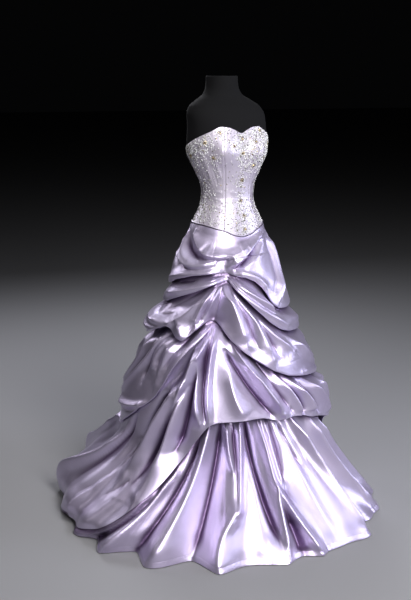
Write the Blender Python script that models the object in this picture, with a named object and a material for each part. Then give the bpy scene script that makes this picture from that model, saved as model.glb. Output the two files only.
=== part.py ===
"""Evening gown on a dress form.

A strapless bodice of seven shaped panels ends in a dipped basque edge.
Below it an underskirt with a train carries an overskirt, a long swag and
three draped tiers, each a closed sheet of cloth two millimetres thick.
The gown hangs on a limbless torso that stands on a pole and a round base.
Lengths are metres. Up is +Z, the front of the gown faces -Y and the
wearer's left is +X. Angles run round the pole from the front towards +X.
"""

import bpy
import numpy as np

# Form and stand
BASE_RADIUS = 0.165
BASE_HEIGHT = 0.014
BASE_EDGE = 0.004
POLE_RADIUS = 0.016
TORSO_BOTTOM = 0.84
SECTION_POWER = 2.3
REST_GAP = 0.0004

# Bodice
BODICE_COLUMNS = 40
BODICE_ROWS = 11
BODICE_THICKNESS = 0.0022
SEAM_GAP = 0.0002
CORD_RADIUS = 0.0019
CORD_SIDES = 6
WAIST_EDGE_DROP = 0.0007

# Skirt layers
SKIRT_COLUMNS = 72
CLOTH = 0.0024
SEAT_GAP = 0.0007
FREE_GAP = 0.0030
HEM_HEIGHT = 0.0015
SEAT_OVERLAP = 0.020
LOW_SEAT_OVERLAP = 0.030

# The cup is a soft bump on each side of the front, on the princess seam.
CUP_ANGLE = 35.0
CUP_HEIGHT = 1.292
CUP_DEPTH = 0.021
CUP_SPREAD = 18.0
CUP_RISE = 0.047

# Sections of the torso: height, half width, depth in front, depth behind
# and how far the centre of the section lies behind the pole.
TORSO = [
    (0.840, 0.120, 0.092, 0.100, 0.000),
    (0.930, 0.140, 0.104, 0.116, 0.000),
    (0.975, 0.137, 0.106, 0.114, 0.000),
    (1.004, 0.134, 0.102, 0.107, 0.000),
    (1.033, 0.127, 0.097, 0.096, 0.000),
    (1.062, 0.114, 0.090, 0.086, 0.000),
    (1.091, 0.099, 0.080, 0.077, 0.000),
    (1.130, 0.091, 0.073, 0.070, 0.000),
    (1.176, 0.096, 0.076, 0.075, 0.000),
    (1.205, 0.109, 0.081, 0.085, 0.000),
    (1.233, 0.122, 0.086, 0.093, 0.000),
    (1.261, 0.137, 0.093, 0.100, 0.000),
    (1.289, 0.146, 0.097, 0.104, 0.000),
    (1.320, 0.149, 0.097, 0.105, 0.000),
    (1.350, 0.148, 0.092, 0.103, 0.000),
    (1.376, 0.147, 0.086, 0.101, 0.000),
    (1.410, 0.148, 0.078, 0.096, 0.006),
    (1.440, 0.136, 0.066, 0.084, 0.016),
    (1.462, 0.106, 0.055, 0.066, 0.026),
    (1.482, 0.073, 0.050, 0.054, 0.034),
    (1.508, 0.058, 0.052, 0.052, 0.038),
    (1.545, 0.054, 0.054, 0.054, 0.040),
]
TORSO_TOP_LEVELS = (1.400, 1.425, 1.447, 1.464, 1.481, 1.505, 1.538, 1.545)

# Top edge of the bodice: angle from the front and height.
NECKLINE = [
    (0, 1.350), (17, 1.362), (30, 1.370), (43, 1.372), (58, 1.356),
    (75, 1.336), (95, 1.314), (130, 1.292), (180, 1.282),
]

# Basque edge where the bodice ends and the skirt begins.
BASQUE = [
    (0, 0.993), (11, 0.996), (20, 1.000), (31, 1.010), (45, 1.020),
    (75, 1.034), (120, 1.036), (180, 1.036),
]

# Bodice panels: name, first and last column of the forty.
BODICE_PANELS = [
    ("bodice_centre_front", -4, 4),
    ("bodice_side_front_left", 4, 9),
    ("bodice_side_back_left", 9, 15),
    ("bodice_back_left", 15, 20),
    ("bodice_back_right", 20, 25),
    ("bodice_side_back_right", 25, 31),
    ("bodice_side_front_right", 31, 36),
]

# Smooth radius of the underskirt: height, front, left side, back, right side.
UNDERSKIRT = [
    (1.030, 0.103, 0.128, 0.101, 0.128),
    (0.930, 0.131, 0.151, 0.138, 0.151),
    (0.800, 0.163, 0.180, 0.180, 0.180),
    (0.650, 0.205, 0.215, 0.232, 0.215),
    (0.500, 0.255, 0.262, 0.300, 0.262),
    (0.360, 0.315, 0.322, 0.385, 0.325),
    (0.300, 0.345, 0.338, 0.425, 0.355),
    (0.250, 0.375, 0.350, 0.465, 0.392),
    (0.200, 0.410, 0.372, 0.520, 0.437),
    (0.100, 0.492, 0.436, 0.650, 0.545),
    (0.045, 0.545, 0.476, 0.740, 0.590),
    (0.015, 0.572, 0.512, 0.790, 0.592),
    (0.000, 0.585, 0.525, 0.800, 0.592),
]

# How far the drapery stands off the underskirt: height, front, side, back.
LOFT = [
    (1.030, 0.003, 0.003, 0.003),
    (0.975, 0.007, 0.008, 0.007),
    (0.930, 0.013, 0.016, 0.014),
    (0.860, 0.026, 0.026, 0.024),
    (0.780, 0.038, 0.040, 0.036),
    (0.710, 0.046, 0.048, 0.044),
    (0.630, 0.052, 0.062, 0.054),
    (0.560, 0.055, 0.065, 0.056),
    (0.480, 0.055, 0.070, 0.058),
    (0.400, 0.047, 0.058, 0.044),
    (0.340, 0.036, 0.042, 0.026),
    (0.250, 0.018, 0.020, 0.016),
    (0.150, 0.011, 0.012, 0.012),
    (0.000, 0.009, 0.009, 0.009),
]

# Edges of the three tiers on the side that shows: angle and height.
# The peaks are the tacks that the cloth is caught up to.
TIER_ONE_EDGE = [
    (-122, 0.815), (-103, 0.825), (-91, 0.843), (-68, 0.865), (-48, 0.874),
    (-32, 0.878), (-23, 0.868), (-9, 0.860), (2, 0.844), (8, 0.825),
    (13, 0.803), (17, 0.763), (25, 0.744), (39, 0.739), (62, 0.745),
]
TIER_TWO_EDGE = [
    (-122, 0.752), (-100, 0.760), (-75, 0.795), (-61, 0.814), (-46, 0.838),
    (-30, 0.854), (-24, 0.830), (-16, 0.802), (-7, 0.767), (2, 0.734),
    (10, 0.702), (19, 0.676), (29, 0.663), (44, 0.656), (62, 0.658),
]
TIER_THREE_EDGE = [
    (-122, 0.626), (-109, 0.643), (-90, 0.675), (-81, 0.692), (-70, 0.655),
    (-64, 0.648), (-58, 0.680), (-50, 0.714), (-42, 0.716), (-35, 0.695),
    (-27, 0.657), (-18, 0.619), (-7, 0.581), (4, 0.546), (15, 0.522),
    (27, 0.509), (62, 0.481),
]
# The swag runs from the front tack round the left to a tack behind.
SWAG_EDGE = [
    (-45, 0.692), (-57, 0.626), (-66, 0.560), (-71, 0.500), (-77, 0.450),
    (-84, 0.412), (-100, 0.345), (-112, 0.300), (-120, 0.280),
]
# The overskirt is an apron in front and covers the train behind.
OVERSKIRT_EDGE = [
    (-180, 0.016), (-110, 0.016), (-94, 0.016), (-85, 0.020), (-77, 0.040),
    (-71, 0.078), (-65, 0.134), (-60, 0.184), (-54, 0.264), (-46, 0.343),
    (-41, 0.385), (-37, 0.395), (-28, 0.398), (-17, 0.403), (-9, 0.403),
    (-2, 0.389), (6, 0.391), (16, 0.390), (24, 0.373), (38, 0.350),
    (52, 0.323), (66, 0.282), (80, 0.215), (92, 0.135), (104, 0.065),
    (118, 0.028), (132, 0.016), (180, 0.016),
]
SWAG_FIRST = -45
SWAG_LAST = -195

# Puffs and pinches of the drapery: layer, angle, height, spread in
# degrees, spread in height, and how far the cloth moves out or in.
PUFFS = [
    ("tier_one", -112, 0.905, 30, 0.060, 0.016),
    ("tier_one", -75, 0.890, 14, 0.030, 0.008),
    ("tier_one", 36, 0.800, 20, 0.050, 0.010),
    ("tier_one", 12, 0.880, 14, 0.040, 0.006),
    ("tier_two", -95, 0.805, 26, 0.030, 0.014),
    ("tier_two", 30, 0.705, 18, 0.030, 0.008),
    ("tier_three", -118, 0.690, 26, 0.050, 0.034),
    ("tier_three", -66, 0.680, 8, 0.032, 0.014),
    ("tier_three", -95, 0.715, 10, 0.030, 0.010),
    ("tier_three", 20, 0.575, 22, 0.050, 0.008),
    ("tier_three", 100, 0.600, 26, 0.050, 0.012),
    ("swag", -118, 0.400, 24, 0.070, 0.012),
    ("swag", -70, 0.600, 12, 0.050, 0.012),
    ("overskirt", 30, 0.430, 24, 0.050, 0.008),
    ("overskirt", -50, 0.450, 10, 0.070, 0.012),
]
TACKS = [
    (-32, 0.880, 0.72), (-43, 0.720, 0.72), (152, 0.880, 0.66), (163, 0.720, 0.66),
]
TACK_REACH_ANGLE = 11.0
TACK_REACH_HEIGHT = 0.040

# Drape folds: layer, start angle and height, middle, end, half width and
# rise. A negative rise is a trough.
FOLDS = [
    ("tier_one", 24, 1.000, 5, 0.965, -25, 0.915, 0.016, 0.012),
    ("tier_one", 14, 0.960, -4, 0.925, -20, 0.890, 0.012, -0.009),
    ("tier_one", -83, 1.000, -74, 0.955, -46, 0.925, 0.016, 0.009),
    ("tier_one", -64, 0.935, -42, 0.912, -26, 0.918, 0.014, 0.010),
    ("tier_one", -118, 0.955, -86, 0.905, -58, 0.905, 0.018, 0.011),
    ("tier_one", -118, 0.850, -98, 0.868, -62, 0.883, 0.016, 0.009),
    ("tier_one", 50, 0.960, 34, 0.850, 25, 0.775, 0.018, 0.012),
    ("tier_one", 62, 0.940, 56, 0.850, 50, 0.765, 0.016, 0.010),
    ("tier_one", 96, 0.985, 120, 0.925, 146, 0.900, 0.018, 0.011),
    ("tier_one", 76, 0.930, 84, 0.860, 92, 0.770, 0.018, 0.011),
    ("tier_one", 190, 0.985, 176, 0.935, 160, 0.905, 0.018, 0.011),
    ("tier_one", 214, 0.900, 190, 0.890, 168, 0.890, 0.016, 0.009),
    ("tier_two", -24, 0.848, 0, 0.772, 24, 0.695, 0.016, 0.010),
    ("tier_two", 8, 0.790, 30, 0.705, 58, 0.680, 0.014, 0.008),
    ("tier_two", -102, 0.820, -74, 0.845, -52, 0.852, 0.012, 0.008),
    ("tier_two", -98, 0.785, -68, 0.812, -40, 0.852, 0.012, 0.008),
    ("tier_two", 144, 0.848, 120, 0.772, 96, 0.695, 0.016, 0.010),
    ("tier_two", 210, 0.800, 186, 0.825, 164, 0.850, 0.014, 0.009),
    ("tier_three", -40, 0.829, -50, 0.765, -55, 0.712, 0.012, 0.011),
    ("tier_three", -35, 0.835, -40, 0.780, -45, 0.728, 0.010, 0.009),
    ("tier_three", -33, 0.832, -23, 0.735, -17, 0.630, 0.013, 0.012),
    ("tier_three", -27, 0.811, -15, 0.716, -3, 0.590, 0.015, 0.013),
    ("tier_three", -12, 0.770, 6, 0.650, 29, 0.540, 0.016, 0.012),
    ("tier_three", 14, 0.680, 36, 0.600, 60, 0.530, 0.015, 0.010),
    ("tier_three", -43, 0.840, -63, 0.753, -74, 0.705, 0.014, 0.012),
    ("tier_three", -110, 0.755, -92, 0.720, -80, 0.704, 0.014, 0.010),
    ("tier_three", -78, 0.800, -96, 0.760, -118, 0.735, 0.014, 0.010),
    ("tier_three", 128, 0.770, 112, 0.650, 92, 0.545, 0.016, 0.012),
    ("tier_three", 150, 0.800, 138, 0.700, 124, 0.590, 0.015, 0.012),
    ("tier_three", 176, 0.800, 184, 0.740, 190, 0.690, 0.014, 0.011),
    ("tier_three", 214, 0.790, 204, 0.730, 196, 0.690, 0.014, 0.010),
    ("swag", -48, 0.700, -58, 0.645, -72, 0.472, 0.015, 0.013),
    ("swag", -60, 0.700, -80, 0.600, -82, 0.500, 0.018, 0.013),
    ("swag", -88, 0.640, -95, 0.560, -118, 0.414, 0.020, 0.014),
    ("swag", -104, 0.600, -116, 0.500, -134, 0.400, 0.020, 0.013),
    ("swag", -128, 0.600, -140, 0.500, -160, 0.420, 0.020, 0.013),
    ("swag", -186, 0.660, -172, 0.580, -160, 0.470, 0.018, 0.013),
    ("swag", -122, 0.370, -98, 0.392, -85, 0.418, 0.012, 0.010),
    ("overskirt", -46, 0.690, -49, 0.543, -45, 0.396, 0.013, 0.013),
    ("overskirt", -38, 0.680, -42, 0.545, -40, 0.400, 0.011, 0.009),
    ("overskirt", -27, 0.653, -13, 0.563, 2, 0.415, 0.014, 0.015),
    ("overskirt", -30, 0.600, -26, 0.500, -22, 0.410, 0.013, 0.009),
    ("overskirt", 8, 0.530, 20, 0.450, 28, 0.390, 0.014, 0.012),
    ("overskirt", 34, 0.490, 46, 0.410, 58, 0.330, 0.016, 0.012),
    ("overskirt", -50, 0.640, -58, 0.450, -66, 0.180, 0.020, 0.016),
    ("overskirt", -62, 0.500, -70, 0.400, -80, 0.180, 0.018, 0.013),
    ("overskirt", 66, 0.470, 80, 0.350, 96, 0.170, 0.022, 0.013),
    ("overskirt", 92, 0.500, 110, 0.330, 124, 0.120, 0.024, 0.014),
    ("overskirt", 116, 0.520, 134, 0.340, 146, 0.120, 0.024, 0.014),
]

# Folds of the skirt hem: angle at the hem, angle at the top, height that
# the fold reaches, half width in degrees and how far it stands out.
HEM_FOLDS = [
    (50, 34, 0.40, 5.0, 0.020), (33, 22, 0.36, 4.5, 0.016), (19, 10, 0.40, 5.0, 0.022),
    (-2, -3, 0.40, 5.0, 0.016), (-14, -12, 0.38, 4.5, 0.018), (-33, -24, 0.42, 6.0, 0.060),
    (-52, -42, 0.40, 6.5, 0.070), (-71, -56, 0.32, 6.0, 0.058), (-86, -66, 0.30, 5.5, 0.036),
    (-104, -90, 0.32, 6.5, 0.030), (-122, -104, 0.34, 6.5, 0.032), (-140, -124, 0.34, 6.5, 0.028),
    (-158, -146, 0.36, 6.5, 0.028), (-176, -168, 0.36, 6.5, 0.026), (168, 160, 0.36, 6.5, 0.028),
    (151, 140, 0.36, 6.5, 0.028), (133, 122, 0.34, 6.5, 0.028), (116, 106, 0.34, 6.5, 0.028),
    (98, 88, 0.36, 6.0, 0.026), (82, 72, 0.38, 5.5, 0.024), (66, 52, 0.38, 5.0, 0.022),
]

LAYERS = ["underskirt", "overskirt", "swag", "tier_three", "tier_two", "tier_one"]

# Lines that run round the skirt from the waist down to the hem.
LINES = [
    "basque", "upper_a", "upper_b", "tier_two_seat", "tier_one_edge",
    "tier_three_seat", "tier_two_edge", "middle_a", "middle_b", "low_seat",
    "tier_three_edge", "middle_c", "swag_edge", "middle_d", "middle_e",
    "overskirt_edge", "lower_a", "lower_b", "hem",
]

# First line, last line and lines left out, for each layer.
SPANS = {
    "underskirt": ("basque", "hem", (
        "upper_b", "tier_one_edge", "tier_two_edge", "middle_a", "middle_b",
        "tier_three_edge", "middle_c",
    )),
    "overskirt": ("low_seat", "overskirt_edge", ()),
    "swag": ("low_seat", "swag_edge", ()),
    "tier_three": ("tier_three_seat", "tier_three_edge", ()),
    "tier_two": ("tier_two_seat", "tier_two_edge", ()),
    "tier_one": ("basque", "tier_one_edge", ()),
}

COLOURS = {
    "satin": (0.50, 0.46, 0.66, 1.0),
    "bodice_satin": (0.60, 0.57, 0.74, 1.0),
    "jersey": (0.012, 0.012, 0.014, 1.0),
    "metal": (0.10, 0.10, 0.11, 1.0),
}


def smoothstep(value, low, high):
    t = np.clip((value - low) / (high - low), 0.0, 1.0)
    return t * t * (3.0 - 2.0 * t)


def along_table(x, table, column):
    """Smooth curve through one column of a table whose first column is x."""
    rows = sorted(table)
    xs = np.array([row[0] for row in rows], float)
    ys = np.array([row[column] for row in rows], float)
    secant = np.diff(ys) / np.diff(xs)
    slope = np.empty(len(xs))
    slope[0] = 0.0
    slope[-1] = secant[-1]
    for i in range(1, len(xs) - 1):
        before = secant[i - 1]
        after = secant[i]
        slope[i] = 0.0 if before * after <= 0 else 2.0 * before * after / (before + after)
    x = np.clip(np.asarray(x, float), xs[0], xs[-1])
    k = np.clip(np.searchsorted(xs, x, side="right") - 1, 0, len(xs) - 2)
    step = xs[k + 1] - xs[k]
    t = (x - xs[k]) / step
    start = (1 + 2 * t) * (1 - t) ** 2 * ys[k] + t * (1 - t) ** 2 * step * slope[k]
    end = t * t * (3 - 2 * t) * ys[k + 1] + t * t * (t - 1) * step * slope[k + 1]
    return start + end


def wrapped(angle):
    """The angle in degrees, between -180 and 180."""
    return (np.asarray(angle, float) + 180.0) % 360.0 - 180.0


def point(angle, radius, height):
    turn = np.radians(angle)
    return np.stack([radius * np.sin(turn), -radius * np.cos(turn), height + 0 * turn], axis=-1)


def torso_point(angle, height):
    """Point of the torso at an angle and a height, with the cups on it."""
    angle = wrapped(angle)
    half = along_table(height, TORSO, 1)
    front = along_table(height, TORSO, 2)
    back = along_table(height, TORSO, 3)
    behind = along_table(height, TORSO, 4)
    turn = np.radians(angle)
    depth = np.where(np.abs(angle) <= 90, front, back)
    side_part = np.abs(np.sin(turn) / half) ** SECTION_POWER
    depth_part = np.abs(np.cos(turn) / depth) ** SECTION_POWER
    radius = (side_part + depth_part) ** (-1.0 / SECTION_POWER)
    across = (np.abs(angle) - CUP_ANGLE) / CUP_SPREAD
    up = (height - CUP_HEIGHT) / CUP_RISE
    radius = radius + CUP_DEPTH * np.exp(-across ** 2 - up ** 2)
    return point(angle, radius, height) + np.stack([0 * radius, behind, 0 * radius], axis=-1)


def skirt_table(angle, height, table):
    """Value from a table that has columns for the front, side and back.

    A last column holds the right side where it differs from the left.
    Low down the train narrows faster behind the sides than an oval would.
    """
    angle = wrapped(angle)
    front = along_table(height, table, 1)
    side = along_table(height, table, 2)
    back = along_table(height, table, 3)
    behind = np.sin(np.radians(angle)) ** 2
    if len(table[0]) == 5:
        side = np.where(angle < 0, along_table(height, table, 4), side)
        narrow = 1.0 + 3.5 * (1.0 - smoothstep(height, 0.10, 0.36))
        behind = 1.0 - (1.0 - behind) ** narrow
    share = np.where(np.abs(angle) < 90, np.sin(np.radians(angle)) ** 2, behind)
    end = np.where(np.abs(angle) < 90, front, back)
    return end + (side - end) * share


def edge_height(angle, table):
    """Edge line of a tier. Behind, it mirrors the side that shows."""
    angle = wrapped(angle)
    seen = np.where((angle > 60) | (angle < -120), wrapped(120 - angle), angle)
    seen = np.clip(seen, table[0][0], table[-1][0])
    return np.interp(seen, [row[0] for row in table], [row[1] for row in table])


def swag_height(angle):
    """Edge of the swag, alike on both sides of its lowest point."""
    turn = (np.asarray(angle, float) + 360.0 * (np.asarray(angle) > 60)) % 360.0 - 360.0
    seen = -120.0 + np.abs(turn + 120.0)
    rows = sorted(SWAG_EDGE)
    return np.interp(seen, [row[0] for row in rows], [row[1] for row in rows])


def in_swag(angle):
    turn = (np.asarray(angle, float) + 360.0) % 360.0 - 360.0
    return (turn <= SWAG_FIRST + 0.1) & (turn >= SWAG_LAST - 0.1)


def line_heights(angle):
    """Height of every line of the skirt at an angle, by name."""
    angle = wrapped(angle)
    basque = along_table(np.abs(angle), BASQUE, 1) - WAIST_EDGE_DROP
    one = edge_height(angle, TIER_ONE_EDGE)
    two = edge_height(angle, TIER_TWO_EDGE)
    three = edge_height(angle, TIER_THREE_EDGE)
    over = np.interp(angle, [row[0] for row in OVERSKIRT_EDGE], [row[1] for row in OVERSKIRT_EDGE])
    two_seat = one + SEAT_OVERLAP
    three_seat = np.minimum(two + SEAT_OVERLAP, one - 0.002)
    low_seat = three + LOW_SEAT_OVERLAP
    away = np.minimum(np.abs(wrapped(angle - SWAG_FIRST)), np.abs(wrapped(angle - SWAG_LAST)))
    plain = three + (over - three) * (0.06 + 0.42 * smoothstep(away, 0, 30))
    swag = np.where(in_swag(angle), np.minimum(swag_height(angle), three - 0.012), plain)
    hem = HEM_HEIGHT + 0 * angle
    return {
        "basque": basque,
        "upper_a": basque + (two_seat - basque) * 0.36,
        "upper_b": basque + (two_seat - basque) * 0.70,
        "tier_two_seat": two_seat,
        "tier_one_edge": one,
        "tier_three_seat": three_seat,
        "tier_two_edge": two,
        "middle_a": two + (low_seat - two) * 0.36,
        "middle_b": two + (low_seat - two) * 0.70,
        "low_seat": low_seat,
        "tier_three_edge": three,
        "middle_c": three + (swag - three) * 0.50,
        "swag_edge": swag,
        "middle_d": swag + (over - swag) * 0.38,
        "middle_e": swag + (over - swag) * 0.72,
        "overskirt_edge": over,
        "lower_a": over + (hem - over) * 0.34,
        "lower_b": over + (hem - over) * 0.68,
        "hem": hem,
    }


def crease(angle, height, row):
    """Height of one drape fold at a point, zero well away from it."""
    centres = [(row[1], row[2]), (row[3], row[4]), (row[5], row[6])]
    half_width = row[7]
    arm = np.radians(0.24)
    best = np.full(np.shape(angle), 1e9)
    where = np.zeros(np.shape(angle))
    for i in range(2):
        start_angle, start_height = centres[i]
        end_angle, end_height = centres[i + 1]
        run = (end_angle - start_angle) * arm
        fall = end_height - start_height
        along = wrapped(angle - start_angle) * arm
        down = height - start_height
        length = run * run + fall * fall
        t = np.clip((along * run + down * fall) / length, 0.0, 1.0)
        away = (along - t * run) ** 2 + (down - t * fall) ** 2
        where = np.where(away < best, (i + t) / 2.0, where)
        best = np.minimum(best, away)
    taper = 0.35 + 0.65 * smoothstep(where, 0.0, 0.30)
    return row[8] * taper * np.exp(-best / (half_width * (0.7 + 0.6 * where)) ** 2)


def hem_fold(angle, height):
    """How far the folds push the underskirt out at a point."""
    total = 0.0 * angle
    for at_hem, at_top, reach, half_width, rise in HEM_FOLDS:
        t = np.clip((reach - height) / reach, 0.0, 1.0)
        centre = at_top + (at_hem - at_top) * t
        spread = half_width * (0.75 + 0.25 * t)
        total = total + rise * t ** 1.15 * np.exp(-(wrapped(angle - centre) / spread) ** 2)
    return total


def lean(angle, height):
    """Direction in which layers are stacked, as parts outward and upward."""
    step = 0.012
    lower = skirt_table(angle, np.maximum(height - step, 0.0), UNDERSKIRT)
    upper = skirt_table(angle, np.maximum(height + step, 2 * step), UNDERSKIRT)
    slope = (lower - upper) / (2 * step)
    behind = smoothstep(np.abs(wrapped(angle)), 70, 125)
    tilt = np.arctan(slope) * (1.0 - smoothstep(height, 0.08, 0.34)) * behind
    return np.cos(tilt), np.sin(tilt)


def skirt_point(angle, height, offset):
    """Point that lies the offset outside the inner face of the underskirt."""
    radius = skirt_table(angle, height, UNDERSKIRT)
    turn = torso_point(angle, np.maximum(height, 0.93))
    body = np.hypot(turn[..., 0], turn[..., 1]) + REST_GAP
    waist = along_table(np.abs(wrapped(angle)), BASQUE, 1)
    free = smoothstep(waist - height, 0.0, 0.10)
    radius = np.where(height > 0.93, body + (np.maximum(radius, body) - body) * free, radius)
    out, up = lean(angle, height)
    total = hem_fold(angle, height) + offset
    return point(angle, radius + out * total, height + up * total)


def drape_offset(angle, height, layer):
    """Offset of the outer face of a layer where it shows."""
    total = skirt_table(angle, height, LOFT)
    for name, at, level, spread, rise, depth in PUFFS:
        if name == layer:
            bump = ((wrapped(angle - at)) / spread) ** 2 + ((height - level) / rise) ** 2
            total = total + depth * np.exp(-bump)
    for row in FOLDS:
        if row[0] == layer:
            total = total + crease(angle, height, row)
    for at, level, share in TACKS:
        near = (wrapped(angle - at) / TACK_REACH_ANGLE) ** 2
        near = near + ((height - level) / TACK_REACH_HEIGHT) ** 2
        total = total * (1.0 - share * np.exp(-near))
    return total


def stacked_offsets(angles):
    """Inner and outer offset of each layer on each line, from inside out."""
    heights = line_heights(angles)
    offsets = {}
    for index, line in enumerate(LINES):
        height = heights[line]
        below = np.full(len(angles), CLOTH)
        offsets["underskirt", line] = (0.0 * below, below)
        for k, layer in enumerate(LAYERS[1:], start=1):
            first, last, _ = SPANS[layer]
            if not LINES.index(first) <= index <= LINES.index(last):
                continue
            here = in_swag(angles) if layer == "swag" else np.full(len(angles), True)
            covered = np.zeros(len(angles), bool)
            edge_above = np.zeros(len(angles), bool)
            for outer in LAYERS[k + 1:]:
                outer_first, outer_last, _ = SPANS[outer]
                if LINES.index(outer_first) <= index <= LINES.index(outer_last):
                    spans = in_swag(angles) if outer == "swag" else np.full(len(angles), True)
                    covered |= spans
                    edge_above |= spans & (line == outer_last)
            wanted = drape_offset(angles, height, layer)
            wanted = np.where(covered, wanted * np.where(edge_above, 0.70, 0.50), wanted)
            gap = SEAT_GAP if line == first else FREE_GAP
            least = below + gap + CLOTH
            outside = least if line == first else np.maximum(least, wanted)
            offsets[layer, line] = (outside - CLOTH, outside)
            below = np.where(here, outside, below)
    return heights, offsets


def closed_sheet(name, inner, outer, material):
    """Closed solid between two grids of points, the inner and outer face."""
    rows, columns = inner.shape[:2]
    count = rows * columns
    vertices = np.concatenate([inner.reshape(-1, 3), outer.reshape(-1, 3)])
    faces = []

    def quad(a, b, c, d):
        faces.append((a, b, c))
        faces.append((a, c, d))

    for i in range(rows - 1):
        for j in range(columns - 1):
            a = i * columns + j
            b = a + 1
            c = a + columns + 1
            d = a + columns
            quad(count + a, count + d, count + c, count + b)
            quad(a, b, c, d)
    for j in range(columns - 1):
        quad(j, count + j, count + j + 1, j + 1)
        base = (rows - 1) * columns + j
        quad(base, base + 1, count + base + 1, count + base)
    for i in range(rows - 1):
        a = i * columns
        d = a + columns
        quad(a, d, count + d, count + a)
        b = a + columns - 1
        e = b + columns
        quad(b, count + b, count + e, e)
    return add_object(name, vertices, faces, material)


def add_object(name, vertices, faces, material):
    mesh = bpy.data.meshes.new(name)
    mesh.from_pydata([tuple(map(float, v)) for v in vertices], [], faces)
    mesh.materials.append(material)
    mesh.polygons.foreach_set("use_smooth", [True] * len(mesh.polygons))
    mesh.update()
    made = bpy.data.objects.new(name, mesh)
    bpy.context.scene.collection.objects.link(made)
    return made


def drawn_in(grid):
    """The grid with its first and last column drawn in to leave a seam."""
    grid = grid.copy()
    for end, neighbour in ((0, 1), (-1, -2)):
        across = grid[:, neighbour] - grid[:, end]
        length = np.linalg.norm(across, axis=-1, keepdims=True)
        grid[:, end] += across / length * SEAM_GAP
    return grid


def closed_rings(name, rings, material):
    """Closed solid through rings of points, capped at the ends."""
    count = len(rings[0])
    vertices = [p for ring in rings for p in ring]
    vertices.append(np.mean(rings[0], axis=0))
    vertices.append(np.mean(rings[-1], axis=0))
    bottom = len(rings) * count
    faces = []
    for i in range(len(rings) - 1):
        for j in range(count):
            a = i * count + j
            b = i * count + (j + 1) % count
            faces.append((a, b, a + count))
            faces.append((b, b + count, a + count))
    for j in range(count):
        faces.append((bottom, (j + 1) % count, j))
        last = (len(rings) - 1) * count
        faces.append((bottom + 1, last + j, last + (j + 1) % count))
    return add_object(name, vertices, faces, material)


def bodice_grid():
    """Torso points under the bodice, and the outward direction at each."""
    angles = np.arange(BODICE_COLUMNS) * 360.0 / BODICE_COLUMNS
    top = along_table(np.abs(wrapped(angles)), NECKLINE, 1)
    bottom = along_table(np.abs(wrapped(angles)), BASQUE, 1)
    grid = []
    for row in range(BODICE_ROWS):
        share = row / (BODICE_ROWS - 1)
        grid.append(torso_point(angles, bottom + (top - bottom) * share))
    grid = np.array(grid)
    across = np.roll(grid, -1, axis=1) - np.roll(grid, 1, axis=1)
    up = np.gradient(grid, axis=0)
    outward = np.cross(across, up)
    outward /= np.linalg.norm(outward, axis=-1, keepdims=True)
    return angles, grid, outward


def make_torso(angles, grid, material):
    rings = []
    low = along_table(np.abs(wrapped(angles)), BASQUE, 1)
    for share in (0.0, 0.30, 0.62):
        rings.append(torso_point(angles, TORSO_BOTTOM + (low - TORSO_BOTTOM) * share))
    rings.extend(grid)
    high = along_table(np.abs(wrapped(angles)), NECKLINE, 1)
    rings.append(torso_point(angles, high + (TORSO_TOP_LEVELS[0] - high) * 0.5))
    for level in TORSO_TOP_LEVELS:
        ring = torso_point(angles, np.full(len(angles), level))
        if level == TORSO_TOP_LEVELS[-1]:
            centre = ring.mean(axis=0)
            ring = centre + (ring - centre) * 0.88
        rings.append(ring)
    return closed_rings("form_torso", rings, material)


def make_bodice(grid, outward, material):
    for name, first, last in BODICE_PANELS:
        columns = [column % BODICE_COLUMNS for column in range(first, last + 1)]
        inner = grid[:, columns] + outward[:, columns] * REST_GAP
        outer = grid[:, columns] + outward[:, columns] * (REST_GAP + BODICE_THICKNESS)
        closed_sheet(name, drawn_in(inner)[::-1], drawn_in(outer)[::-1], material)


def make_cord(grid, outward, material):
    """Round cord that finishes the basque edge, a ring of six-sided rings."""
    away = REST_GAP + BODICE_THICKNESS + REST_GAP + CORD_RADIUS
    centres = grid[0] + outward[0] * away + np.array([0, 0, CORD_RADIUS + 0.0006])
    flat = outward[0] * np.array([1, 1, 0])
    flat /= np.linalg.norm(flat, axis=-1, keepdims=True)
    vertices = []
    for centre, side in zip(centres, flat):
        for k in range(CORD_SIDES):
            turn = 2 * np.pi * k / CORD_SIDES
            vertices.append(centre + CORD_RADIUS * (np.cos(turn) * side + np.array([0, 0, np.sin(turn)])))
    faces = []
    count = len(centres)
    for j in range(count):
        for k in range(CORD_SIDES):
            a = j * CORD_SIDES + k
            b = j * CORD_SIDES + (k + 1) % CORD_SIDES
            c = (j + 1) % count * CORD_SIDES + (k + 1) % CORD_SIDES
            d = (j + 1) % count * CORD_SIDES + k
            faces.append((a, d, c))
            faces.append((a, c, b))
    add_object("bodice_edge_cord", vertices, faces, material)


def make_skirt_piece(name, layer, first, last, material):
    """One panel of a layer, between two angles that lie on columns."""
    step = 360.0 / SKIRT_COLUMNS
    angles = np.arange(first, last + 0.5 * step, step)
    heights, offsets = stacked_offsets(angles)
    top, bottom, left_out = SPANS[layer]
    lines = LINES[LINES.index(top):LINES.index(bottom) + 1]
    lines = [line for line in lines if line not in left_out]
    inner = []
    outer = []
    for line in lines:
        inside, outside = offsets[layer, line]
        inner.append(skirt_point(angles, heights[line], inside))
        outer.append(skirt_point(angles, heights[line], outside))
    inner = drawn_in(np.array(inner))
    outer = drawn_in(np.array(outer))
    return closed_sheet(name, inner, outer, material)


def make_stand(material):
    angles = np.arange(48) * 7.5
    steps = (
        (BASE_RADIUS - 0.002, 0.0),
        (BASE_RADIUS, 0.002),
        (BASE_RADIUS, BASE_HEIGHT - BASE_EDGE),
        (BASE_RADIUS - BASE_EDGE, BASE_HEIGHT),
    )
    rings = [point(angles, radius, height) for radius, height in steps]
    closed_rings("form_base", rings, material)
    angles = np.arange(24) * 15.0
    bottom = BASE_HEIGHT + REST_GAP
    top = TORSO_BOTTOM - REST_GAP
    rings = [point(angles, POLE_RADIUS, bottom), point(angles, POLE_RADIUS, top)]
    closed_rings("form_pole", rings, material)


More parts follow.
